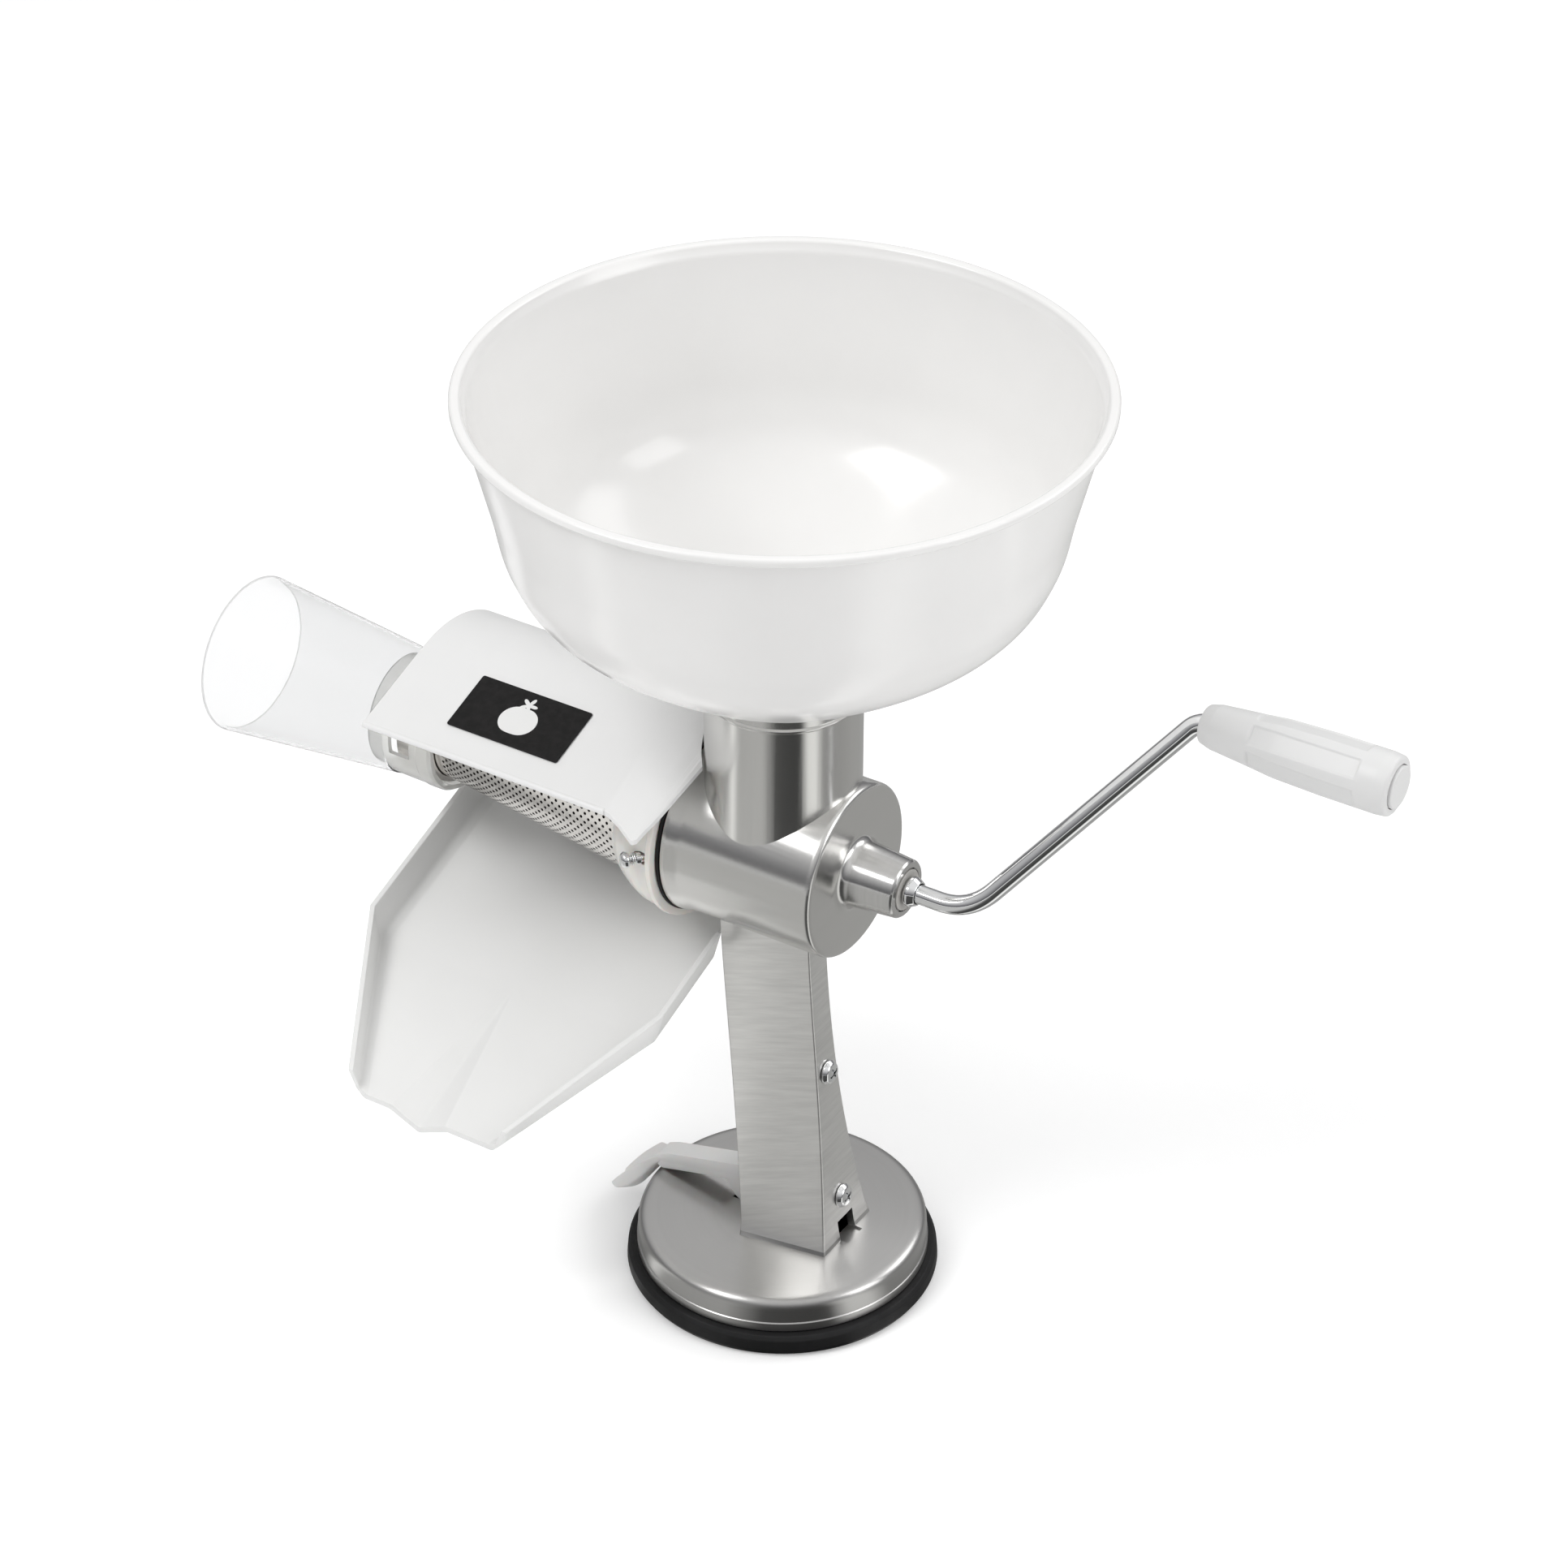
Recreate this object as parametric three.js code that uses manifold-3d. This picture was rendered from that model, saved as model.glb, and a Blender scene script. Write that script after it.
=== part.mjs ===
// Suction-base food mill: a cast aluminium body with a hopper on top, a hand crank that turns a
// feed spiral inside a perforated cone, a splash hood and tray for the juice, and a clear outlet.
// Millimetres. +Z is up, +X runs along the barrel towards the crank, -Y is the juice side.
// The origin is the centre of the suction pad's underside.

import * as THREE from 'three';
import { mergeVertices } from 'three/addons/utils/BufferGeometryUtils.js';
import Module from 'manifold-3d';

const wasm = await Module();
wasm.setup();

// Driving dimensions.
const GAP = 0.3;
const AXIS_Z = 202.5;

const PAD_R = 63.2;
const PAD_TOP = 9;
const BASE_R = 59;
const BASE_RIM_TOP = 23.8;
const BASE_TOP = 24.8;
const BASE_WALL = 4;

const POST_WIDTH = 41.2;
const POST_WALL = 3.2;
const POST_TOP = 176;
const CHANNEL_TOP = 150;

const BARREL_R = 35;
const BARREL_OPEN_X = -33;
const BARREL_CAP_X = 32.7;
const BORE_R = 30;
const BOSS_END_X = 54.9;
const NECK_R = 30;
const NECK_TOP = 278;
const NECK_BORE_R = 27.2;

const HOPPER_R = 120;
const HOPPER_TOP = 401;
const HOPPER_WALL = 2.2;
const TUBE_R = 26.7;
const TUBE_BOTTOM = 240;

const ROD_R = 3.8;
const CRANK_ANGLE = THREE.MathUtils.degToRad(60);
const CRANK_THROW = 95;
const CRANK_BEND_X = 82;
const GRIP_BEND_X = 148.5;
const GRIP_START_X = 151.2;
const GRIP_END_X = 228.3;

const SCREEN_BIG_X = -36.8;
const SCREEN_SMALL_X = -158;
const SCREEN_BIG_R = 30;
const SCREEN_SMALL_R = 19.5;
const SCREEN_WALL = 0.8;
const LOCK_SCREW = new THREE.Vector3(-39.8, -37.8, 1.5);
const LOCK_SCREW_TURN = THREE.MathUtils.degToRad(-135);
const CONE_END_X = -256;
const CONE_END_R = 33;
const CONE_START_X = -172.3;
const CONE_START_R = 25;

const SHIELD_X0 = -156;
const SHIELD_X1 = -23;
const SHIELD_ROLL_X = -36;
const LABEL_UP_SLOPE = 25;
const SHIELD_R = 48;
const SHIELD_WALL = 1.9;
const SHIELD_SLOPE = THREE.MathUtils.degToRad(18.2);
const SHIELD_LIP_Y = -55.5;
const SHIELD_SKIRT_Z = 174;

const CHUTE_X0 = -156.3;
const CHUTE_X1 = -22.3;
const CHUTE_BACK_Y = 45.4;
const CHUTE_BEND_Y = -55;
const CHUTE_LIP_Y = -122;
const CHUTE_RIM_Z = 166;
const CHUTE_SLOPE = 0.34;
const CHUTE_WALL = 2.4;
const CHUTE_DEPTH = 14;

const PIVOT_X = -6;
const PIVOT_Z = 40;
const LEVER_WIDTH = 9;
const DRIVE_OFFSET = 6;

// Turns the lathe and extrusion axes onto the part's axes.
const X_AXIS = new THREE.Vector3(1, 0, 0);
const Y_AXIS = new THREE.Vector3(0, 1, 0);
const Z_AXIS = new THREE.Vector3(0, 0, 1);
const SECTION_YZ = new THREE.Matrix4().makeBasis(Y_AXIS, Z_AXIS, X_AXIS);
const SECTION_XZ = new THREE.Matrix4().makeBasis(X_AXIS, Z_AXIS, Y_AXIS.clone().negate());

// Merges shared vertices, drops collapsed triangles and turns the faces outwards.
function closed(geometry) {
  const bare = geometry.clone();
  bare.deleteAttribute('normal');
  bare.deleteAttribute('uv');
  const merged = mergeVertices(bare, 1e-4);
  const position = merged.attributes.position;
  const source = merged.index.array;
  const kept = [];
  for (let i = 0; i < source.length; i += 3) {
    const [a, b, c] = [source[i], source[i + 1], source[i + 2]];
    if (a !== b && b !== c && c !== a) kept.push(a, b, c);
  }
  const p = new THREE.Vector3();
  const q = new THREE.Vector3();
  const r = new THREE.Vector3();
  let volume = 0;
  for (let i = 0; i < kept.length; i += 3) {
    p.fromBufferAttribute(position, kept[i]);
    q.fromBufferAttribute(position, kept[i + 1]);
    r.fromBufferAttribute(position, kept[i + 2]);
    volume += p.dot(q.cross(r));
  }
  if (volume < 0) kept.reverse();
  merged.setIndex(kept);
  return merged;
}

function toSolid(geometry) {
  const shape = closed(geometry);
  return new wasm.Manifold(new wasm.Mesh({
    numProp: 3,
    vertProperties: new Float32Array(shape.attributes.position.array),
    triVerts: new Uint32Array(shape.index.array),
  }));
}

function toGeometry(solid) {
  const mesh = solid.getMesh();
  const geometry = new THREE.BufferGeometry();
  geometry.setAttribute('position', new THREE.BufferAttribute(mesh.vertProperties, 3));
  geometry.setIndex(new THREE.BufferAttribute(mesh.triVerts, 1));
  return closed(geometry);
}

function join(...geometries) {
  return toGeometry(geometries.map(toSolid).reduce((sum, piece) => sum.add(piece)));
}

function cut(base, ...tools) {
  return toGeometry(tools.map(toSolid).reduce((left, tool) => left.subtract(tool), toSolid(base)));
}

// Lathes take [radius, height] pairs and turn about Z or X.
function latheZ(profile, segments = 32) {
  const points = profile.map(([r, z]) => new THREE.Vector2(r, z));
  return closed(new THREE.LatheGeometry(points, segments).rotateX(Math.PI / 2));
}

function latheX(profile, segments = 32) {
  const points = profile.map(([r, x]) => new THREE.Vector2(r, x));
  return closed(new THREE.LatheGeometry(points, segments).rotateZ(-Math.PI / 2));
}

// A closed ring profile from an outer line and an inner line that run the same way.
function ring(outer, inner) {
  return [...outer, ...[...inner].reverse(), outer[0]];
}

function extrude(points, depth, basis) {
  const shape = new THREE.Shape(points.map(([u, v]) => new THREE.Vector2(u, v)));
  const geometry = new THREE.ExtrudeGeometry(shape, { depth, bevelEnabled: false });
  return closed(geometry.applyMatrix4(basis));
}

function extrudeX(points, x0, x1) {
  return extrude(points, x1 - x0, SECTION_YZ).translate(x0, 0, 0);
}

function extrudeY(points, y0, y1) {
  return extrude(points, y1 - y0, SECTION_XZ).translate(0, y1, 0);
}

function box(x0, x1, y0, y1, z0, z1) {
  const geometry = new THREE.BoxGeometry(x1 - x0, y1 - y0, z1 - z0);
  return closed(geometry.translate((x0 + x1) / 2, (y0 + y1) / 2, (z0 + z1) / 2));
}

// Skins a row of rings, each a list of Vector3, and caps both ends with the given flat outline.
function loft(rings, outline) {
  const count = rings[0].length;
  const positions = rings.flat().flatMap((v) => [v.x, v.y, v.z]);
  const index = [];
  for (let i = 0; i + 1 < rings.length; i += 1) {
    for (let j = 0; j < count; j += 1) {
      const a = i * count + j;
      const b = i * count + (j + 1) % count;
      index.push(a, b, b + count, a, b + count, a + count);
    }
  }
  const last = (rings.length - 1) * count;
  const clockwise = THREE.ShapeUtils.isClockWise(outline);
  for (const face of THREE.ShapeUtils.triangulateShape(outline, [])) {
    const [a, b, c] = clockwise ? [...face].reverse() : face;
    index.push(a, c, b, last + a, last + b, last + c);
  }
  const geometry = new THREE.BufferGeometry();
  geometry.setAttribute('position', new THREE.Float32BufferAttribute(positions, 3));
  geometry.setIndex(index);
  return closed(geometry);
}

// The post leans away from the crank as it rises and spreads out towards its foot.
function postRight(z) {
  return 15.8 + 14.2 * (Math.max(0, 165 - z) / 138) ** 1.4;
}

function postHalfDepth(z) {
  return 6.4 + 10.3 * (Math.max(0, 150 - z) / 123) ** 2.5;
}

// How much deeper, and narrower, the post is at its open side than at its crank side.
function postDraft(z) {
  return 5 * (Math.max(0, 150 - z) / 123) ** 2.5;
}

function postLoft(levels, reach) {
  const rings = levels.map((z) => {
    const [x0, x1, y, draft] = reach(z);
    const plan = [[x0, -y - draft], [x1, -y], [x1, y], [x0, y + draft]];
    return plan.map(([u, v]) => new THREE.Vector3(u, v, z));
  });
  const square = [[0, 0], [1, 0], [1, 1], [0, 1]].map(([u, v]) => new THREE.Vector2(u, v));
  return loft(rings, square);
}

function levels(from, to, count) {
  return Array.from({ length: count + 1 }, (_, i) => from + (to - from) * i / count);
}

// Height and lean of the two bracket screws on the post's crank-side face.
function postTilt(z) {
  return Math.atan((postRight(z - 1) - postRight(z + 1)) / 2);
}

function onPostFace(geometry, z) {
  return geometry.rotateY(-postTilt(z)).translate(postRight(z), 0, z);
}

// One casting: neck, barrel, end cap and boss, post, and base cover.
function bodyCasting() {
  const neck = latheZ([
    [0, 196], [NECK_R, 196], [NECK_R, 272.8], [NECK_R + 0.4, 273.2], [NECK_R + 0.4, 273.8],
    [NECK_R - 0.6, 274.4], [NECK_R - 0.6, NECK_TOP - 0.8], [NECK_R - 1.4, NECK_TOP], [0, NECK_TOP],
  ]);
  const barrel = latheX([
    [0, BARREL_OPEN_X], [35.8, BARREL_OPEN_X], [36.2, -32.6], [36, -30.4], [35.3, -28],
    [BARREL_R, -25.5], [BARREL_R, 28.4], [34.4, 30.6], [32.9, 32.1], [31.2, BARREL_CAP_X],
    [17.4, BARREL_CAP_X], [14.6, 33.6], [13.2, 36.4], [11.6, 54], [10.8, BOSS_END_X], [0, BOSS_END_X],
  ]).translate(0, 0, AXIS_Z);
  const post = postLoft([18, 24, 25.5, 27, 29, 31, ...levels(40, POST_TOP, 10)], (z) => {
    const spread = z < 24 ? 0 : 1.4 * (Math.max(0, 31 - z) / 7) ** 2;
    const draft = postDraft(z);
    const left = postRight(z) - POST_WIDTH + draft;
    return [left, postRight(z) + spread * 0.3, postHalfDepth(z) + spread * 0.3, draft + spread];
  });
  const cover = latheZ([
    [0, PAD_TOP + GAP], [BASE_R - 0.4, PAD_TOP + GAP], [BASE_R, 9.9], [BASE_R, 13.2],
    [BASE_R - 0.5, 13.8], [BASE_R - 0.5, 20.6], [BASE_R - 0.9, 22.1], [BASE_R - 2, 23.3],
    [BASE_R - 4, BASE_RIM_TOP], [0, BASE_TOP],
  ], 48);
  const underside = latheZ([
    [0, 5], [BASE_R - 4, 5], [BASE_R - 4, 18.8], [BASE_R - 6, BASE_RIM_TOP - BASE_WALL], [0, 20.8],
  ]);
  const bore = latheX([[0, -40], [BORE_R, -40], [BORE_R, 27], [0, 27]]).translate(0, 0, AXIS_Z);
  const neckBore = latheZ([[0, 205], [NECK_BORE_R, 205], [NECK_BORE_R, 285], [0, 285]]);
  const bossBore = latheX([
    [0, 20], [7.4, 20], [7.4, 53.2], [8.8, 53.2], [8.8, 60], [0, 60],
  ], 32).translate(0, 0, AXIS_Z);
  const channel = postLoft(levels(BASE_TOP + 0.1, CHANNEL_TOP, 9), (z) => [
    postRight(z) - POST_WIDTH - 8, postRight(z) - POST_WALL, postHalfDepth(z) - 3, postDraft(z),
  ]);
  const throat = postLoft([10, 30], (z) => [-10.8, postRight(z) - POST_WALL, 11, 0]);
  const hubSlot = box(-20.6, -5, -5.1, 5.1, 15, 27);
  const notch = box(22, 32, -5, 6, 23.4, 33);
  const screwHole = (z) => onPostFace(latheX([[0, -8], [2.7, -8], [2.7, 8], [0, 8]], 16), z);
  return cut(
    join(neck, barrel, post, cover),
    underside, bore, neckBore, bossBore, channel, throat, hubSlot, notch,
    screwHole(102), screwHole(43),
  );
}

// The rubber pad: a flat disc with a soft rim and a boss with a pocket for the stud's flange.
function suctionPad() {
  return latheZ([
    [0, 0], [PAD_R - 2, 0], [PAD_R, 2.6], [PAD_R - 0.5, 7.4], [PAD_R - 1.8, PAD_TOP],
    [13, PAD_TOP], [13, 19.6], [4.6, 19.6], [4.6, 18.2], [9, 18.2], [9, 8.6], [0, 8.6],
  ], 40);
}

// The stud's flange sits in the pad's pocket and its slotted eye takes the lever's drive pin.
function pullStud() {
  const stem = latheZ([[0, 15.6], [8.4, 15.6], [8.4, 17.9], [3.8, 17.9], [3.8, 19.4], [0, 19.4]], 24);
  const blade = box(-4, 4, -1.9, 1.9, 18, 35);
  const eye = box(-10, 4.9, -1.9, 1.9, 33.4, 44.4);
  const slot = box(-7.7, 2.3, -4, 4, 36.6, 41.9);
  return cut(join(stem, blade, eye), slot);
}

// A folded bracket inside the post: a web along the crank-side wall and two pivot cheeks.
function leverBracket() {
  const inner = (z) => postRight(z) - POST_WALL - 0.5;
  const heights = levels(34, 110, 6);
  const web = extrudeY([
    ...heights.map((z) => [inner(z), z]),
    ...[...heights].reverse().map((z) => [inner(z) - 2, z]),
  ], -4, 4);
  const bridge = extrudeY([[inner(34), 34], [inner(50), 50], [inner(50) - 2, 50],
    [inner(34) - 2, 34]], -7.3, 7.3);
  const cheek = [[PIVOT_X - 6, PIVOT_Z - 6], [inner(34) - 1, 34], [inner(50) - 1, 50],
    [PIVOT_X - 6, PIVOT_Z + 7]];
  const holes = latheX([[0, -10], [3.3, -10], [3.3, 10], [0, 10]], 20)
    .rotateZ(Math.PI / 2).translate(PIVOT_X, 0, PIVOT_Z);
  const screwHole = (z) => onPostFace(latheX([[0, -9], [2.7, -9], [2.7, 3], [0, 3]], 16), z);
  return cut(
    join(web, bridge, extrudeY(cheek, -7.3, -5.3), extrudeY(cheek, 5.3, 7.3)),
    holes, screwHole(102), screwHole(43),
  );
}

// Pan head with a cross recess, and its shank, pointing along +X from the face at x = 0.
function panScrew() {
  const body = latheX([
    [0, -7.4], [2.2, -7.4], [2.4, -7], [2.4, GAP], [4.9, GAP], [5, 1.2], [4.4, 2.4], [2.8, 3.2], [0, 3.4],
  ], 24);
  return cut(body, box(1.6, 5, -0.5, 0.5, -2.6, 2.6), box(1.6, 5, -2.6, 2.6, -0.5, 0.5));
}

// The lever is cut from a bar with a round lobe at its pivot and ends in a dished thumb paddle.
function suctionLever() {
  const lobe = new THREE.EllipseCurve(PIVOT_X, PIVOT_Z, 20, 20, 3.56, 5.5, false).getPoints(12);
  const nose = new THREE.EllipseCurve(PIVOT_X, PIVOT_Z, 9, 9, -0.2, 1.35, false).getPoints(5);
  const outline = [
    [-55.6, 24], ...lobe.map((v) => [v.x, v.y]), ...nose.map((v) => [v.x, v.y]),
    [-19.4, 41.2], [-52.5, 32.6], [-57.5, 30.4], [-60.5, 26.5],
  ];
  const bar = extrudeY(outline, -LEVER_WIDTH / 2, LEVER_WIDTH / 2);
  const trunnions = latheX([[0, -8.6], [3, -8.6], [3, 8.6], [0, 8.6]], 20)
    .rotateZ(Math.PI / 2).translate(PIVOT_X, 0, PIVOT_Z);
  const groove = box(-18.5, 16, -2.3, 2.3, 15, 60);
  const pinHole = latheX([[0, -8], [1.9, -8], [1.9, 8], [0, 8]], 16)
    .rotateZ(Math.PI / 2).translate(PIVOT_X + DRIVE_OFFSET, 0, PIVOT_Z);
  const rings = levels(0, 1, 6).map((t) => {
    const x = -56 - 23 * t;
    const z = 28.5 - 23.3 * t ** 1.15;
    const taper = Math.max(0, (t - 0.6) / 0.4) ** 2;
    const half = (4.7 + 4.4 * Math.min(1, t / 0.33)) * Math.sqrt(1 - 0.6 * taper);
    const lip = 2 * Math.min(1, t / 0.25) * (1 - 0.5 * taper);
    const belly = -2 - 3.8 * Math.sin(Math.PI * Math.max(0, t - 0.15) / 0.85);
    const edge = [[-half, lip + 1.2], [-half * 0.6, 1], [half * 0.6, 1], [half, lip + 1.2],
      [half, belly * 0.5], [half * 0.6, belly], [-half * 0.6, belly], [-half, belly * 0.5]];
    return edge.map(([y, up]) => new THREE.Vector3(x - up * 0.65, y, z + up * 0.76));
  });
  const mouth = rings[0].map((v) => new THREE.Vector2(v.y, v.z));
  return cut(join(bar, trunnions, loft(rings, mouth)), groove, pinHole);
}

// The bowl: a dished floor that turns up into a steep wall, a rolled rim, and the outlet tube.
function hopper() {
  const line = new THREE.SplineCurve([
    [31, 278.7], [63.6, 299.8], [91, 320.6], [102, 338], [107.2, 360], [116.2, 396.6],
  ].map(([r, z]) => new THREE.Vector2(r, z)));
  const spans = levels(0, 1, 6);
  const outer = spans.map((t) => line.getPoint(t).toArray());
  const inner = spans.map((t) => {
    const along = line.getTangent(t);
    const point = line.getPoint(t);
    return [point.x - along.y * HOPPER_WALL, point.y + along.x * HOPPER_WALL];
  });
  const rim = [
    [HOPPER_R - 2, 397.6], [HOPPER_R - 0.4, 398.3], [HOPPER_R, 399.3], [HOPPER_R - 0.5, 400.4],
    [HOPPER_R - 1.8, HOPPER_TOP], [HOPPER_R - 3.4, HOPPER_TOP],
  ];
  return latheZ(ring(
    [[TUBE_R, TUBE_BOTTOM], [TUBE_R, NECK_TOP + GAP], ...outer, ...rim],
    [[TUBE_R - 2, TUBE_BOTTOM], [TUBE_R - 2, NECK_TOP + 1], ...inner, [HOPPER_R - 4.8, 400.1]],
  ), 40);
}

// The rod: straight through the boss, a slanted arm in the crank plane, straight into the grip.
function crankRod() {
  const out = (x, s) => new THREE.Vector3(
    x, s * Math.cos(CRANK_ANGLE), s * Math.sin(CRANK_ANGLE));
  const arm = new THREE.Vector2(GRIP_BEND_X - CRANK_BEND_X, CRANK_THROW).normalize();
  const path = new THREE.CurvePath();
  const first = out(CRANK_BEND_X, 0);
  const second = out(GRIP_BEND_X, CRANK_THROW);
  const leave = out(CRANK_BEND_X + arm.x * 13, arm.y * 13);
  const arrive = out(GRIP_BEND_X - arm.x * 5, CRANK_THROW - arm.y * 5);
  const enter = out(GRIP_BEND_X + 5, CRANK_THROW);
  path.add(new THREE.LineCurve3(out(6, 0), out(CRANK_BEND_X - 13, 0)));
  path.add(new THREE.QuadraticBezierCurve3(out(CRANK_BEND_X - 13, 0), first, leave));
  path.add(new THREE.LineCurve3(leave, arrive));
  path.add(new THREE.QuadraticBezierCurve3(arrive, second, enter));
  path.add(new THREE.LineCurve3(enter, out(GRIP_END_X - 6, CRANK_THROW)));
  const section = new THREE.Shape(new THREE.EllipseCurve(0, 0, ROD_R, ROD_R).getPoints(12).slice(0, 12));
  return closed(new THREE.ExtrudeGeometry(section, { steps: 32, extrudePath: path }));
}

// The grip swells from a rounded nose to a flat end and has six shallow finger panels.
function crankGrip() {
  const length = GRIP_END_X - GRIP_START_X;
  const outer = [
    [5.2, 0], [7.4, 0.9], [8.4, 4.5], [10, 20], [11.2, 31], [11.8, 50], [11.9, length - 6],
    [11.5, length - 1.6], [10.2, length],
  ];
  const inner = [[4.7, 0], [4.25, 3], [4.2, length - 4], [8.6, length - 4], [8.6, length]];
  const body = latheX(ring(outer, inner), 28);
  const panels = levels(0, 5, 5).map((i) => box(24, 66, -3.4, 3.4, 10.9, 14)
    .rotateX(i * Math.PI / 3 + 0.3));
  return cut(body, ...panels);
}

// The feed screw: a core with a socket for the rod and one flight that follows the cone.
function spiral() {
  const reach = (x) => Math.min(28.4, 28 + (x + 40) * 0.098);
  const core = latheX([
    [4.2, 24], [8.8, 24], [8.8, 14], [10.5, 8], [9.5, -60], [7, -140], [5.5, -151], [0, -151],
    [0, 4], [4.2, 4],
  ].concat([[4.2, 24]]), 16);
  const pitch = 30;
  const turns = 5.5;
  const steps = 60;
  const rings = levels(0, 1, steps).map((t) => {
    const x = 12 - pitch * turns * t;
    const turn = 2 * Math.PI * turns * t;
    const at = (u, r) => new THREE.Vector3(u, r * Math.cos(turn), r * Math.sin(turn));
    return [at(x + 2.4, 5), at(x + 1.1, reach(x)), at(x - 1.1, reach(x)), at(x - 2.4, 5)];
  });
  const quad = [[0, 0], [1, 0], [1, 1], [0, 1]].map(([u, v]) => new THREE.Vector2(u, v));
  return join(core, loft(rings, quad));
}

// A helical wire between two places on the X axis.
function coil(x0, x1, radius, wire, turns, sides, steps) {
  class Helix extends THREE.Curve {
    getPoint(t, target = new THREE.Vector3()) {
      const turn = 2 * Math.PI * turns * t;
      return target.set(x0 + (x1 - x0) * t, radius * Math.cos(turn), radius * Math.sin(turn));
    }
  }
  const section = new THREE.Shape(new THREE.EllipseCurve(0, 0, wire, wire).getPoints(sides).slice(0, sides));
  return closed(new THREE.ExtrudeGeometry(section, { steps, extrudePath: new Helix() }));
}

function screenRadius(x) {
  const slope = (SCREEN_BIG_R - SCREEN_SMALL_R) / (-55 + 148);
  return Math.max(SCREEN_SMALL_R - 0.4, SCREEN_BIG_R + (Math.min(x, -55) + 55) * slope);
}

function screenCone() {
  const stations = [SCREEN_BIG_X, -55, -151, SCREEN_SMALL_X];
  return latheX(ring(
    stations.map((x) => [screenRadius(x), x]),
    stations.map((x) => [screenRadius(x) - SCREEN_WALL, x]),
  ));
}

// The bell-shaped collar that holds the cone's big end against the barrel.
function screenCollar() {
  const outer = [
    [31.2, -57.5], [33.4, -54.5], [36, -50], [37.7, -46], [38.2, -42.5], [38.2, -37.8],
    [39.8, -37.4], [39.8, -35.2], [38.6, -35],
  ];
  const inner = [[30.4, -57.5], [30.4, -36.4], [30.4, -35]];
  const screwHole = latheX([[0, -4.2], [1.9, -4.2], [1.9, -1.8], [2.8, -1.8], [2.8, 8], [0, 8]], 16)
    .rotateZ(LOCK_SCREW_TURN).translate(LOCK_SCREW.x, LOCK_SCREW.y, LOCK_SCREW.z);
  return cut(latheX(ring(outer, inner)), screwHole);
}

// A domed screw that stands out of the bell: shank, shoulder and head, out along +X.
function lockScrew() {
  return latheX([
    [0, -3.6], [1.6, -3.6], [1.6, 0.5], [2.4, 0.5], [2.4, 2.2], [1.5, 2.3], [1.5, 4.8], [2.5, 4.9],
    [3.3, 5.7], [3.3, 6.8], [2.4, 8], [1.2, 8.5], [0, 8.6],
  ], 20);
}

function wasteCoupling() {
  const outer = [[23, -180], [23.3, -172.4], [24.7, -172], [24.9, -156], [25.3, -155.4],
    [25.3, -150], [24.4, -148.6]];
  const inner = [[21.8, -180], [22.6, -172], [22.6, -148.6]];
  const window = box(-169, -159, -6.5, 6.5, 18, 30);
  const windows = levels(0, 3, 3).map((i) => window.clone().rotateX(Math.PI / 2 * (i + 1) - 0.1));
  return cut(latheX(ring(outer, inner)), ...windows);
}

function wasteCone() {
  const outer = [[CONE_END_R, CONE_END_X], [CONE_START_R, CONE_START_X]];
  const inner = [[CONE_END_R - 1.3, CONE_END_X], [CONE_START_R - 1.3, CONE_START_X]];
  return latheX(ring(outer, inner), 40);
}

// Section of the hood: a front plane tangent to an arch about the screen, then a back skirt.
function hoodLine(radius, lipY = SHIELD_LIP_Y, drop = 0) {
  const start = Math.PI / 2 + SHIELD_SLOPE;
  const tangentY = radius * Math.cos(start);
  const tangentZ = radius * Math.sin(start);
  const line = [[lipY, tangentZ - (tangentY - lipY) * Math.tan(SHIELD_SLOPE)]];
  for (const angle of levels(start, 0, 12)) {
    const reach = radius - drop * Math.sin(angle);
    line.push([reach * Math.cos(angle), reach * Math.sin(angle)]);
  }
  line.push([radius, SHIELD_SKIRT_Z - AXIS_Z]);
  return line;
}

// The hood's crank end rolls down towards the barrel, and its front corner runs out to a point.
function splashShield() {
  const stations = [[SHIELD_X0, 0], [-47, 0], [-42, 0.9], [SHIELD_ROLL_X, 3.5], [-31, 6.5], [-27, 9.1],
    [-25.2, 8.7], [-24.2, 1.5], [SHIELD_X1, -5.5]];
  const rings = stations.map(([x, out]) => {
    const turn = Math.max(0, (x - SHIELD_ROLL_X) / (SHIELD_X1 - SHIELD_ROLL_X));
    const drop = 5 * (1 - Math.sqrt(1 - turn * turn));
    const outer = hoodLine(SHIELD_R, SHIELD_LIP_Y - out, drop);
    const inner = hoodLine(SHIELD_R - SHIELD_WALL, SHIELD_LIP_Y - out, drop);
    return [...outer, ...[...inner].reverse()].map(([y, z]) => new THREE.Vector3(x, y, z));
  });
  const sheet = loft(rings, rings[0].map((v) => new THREE.Vector2(v.y, v.z)));
  const [lipY, lipZ] = hoodLine(SHIELD_R)[0];
  const hem = latheX([[0, SHIELD_X0], [1.3, SHIELD_X0], [1.3, -44], [0, -44]], 12)
    .translate(0, lipY - 0.1, lipZ - 1);
  const rib = latheX(ring([[SHIELD_R - 1, -46.2], [SHIELD_R - 1, -43.9]],
    [[38.9, -46.2], [38.9, -43.9]]), 60);
  const top = box(-48, -42, -34, 40, 18, 60);
  const halfRib = toGeometry(toSolid(rib).intersect(toSolid(top)));
  const neckClear = latheZ([[0, -60], [31, -60], [31, 60], [0, 60]]);
  return cut(join(sheet, hem, halfRib), neckClear);
}

function shieldLabel() {
  const [lipY, lipZ] = hoodLine(SHIELD_R)[0];
  return closed(new THREE.BoxGeometry(51, 26.6, 0.3)
    .translate(-99, LABEL_UP_SLOPE, 0.15 + GAP).rotateX(SHIELD_SLOPE).translate(0, lipY, lipZ));
}

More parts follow.
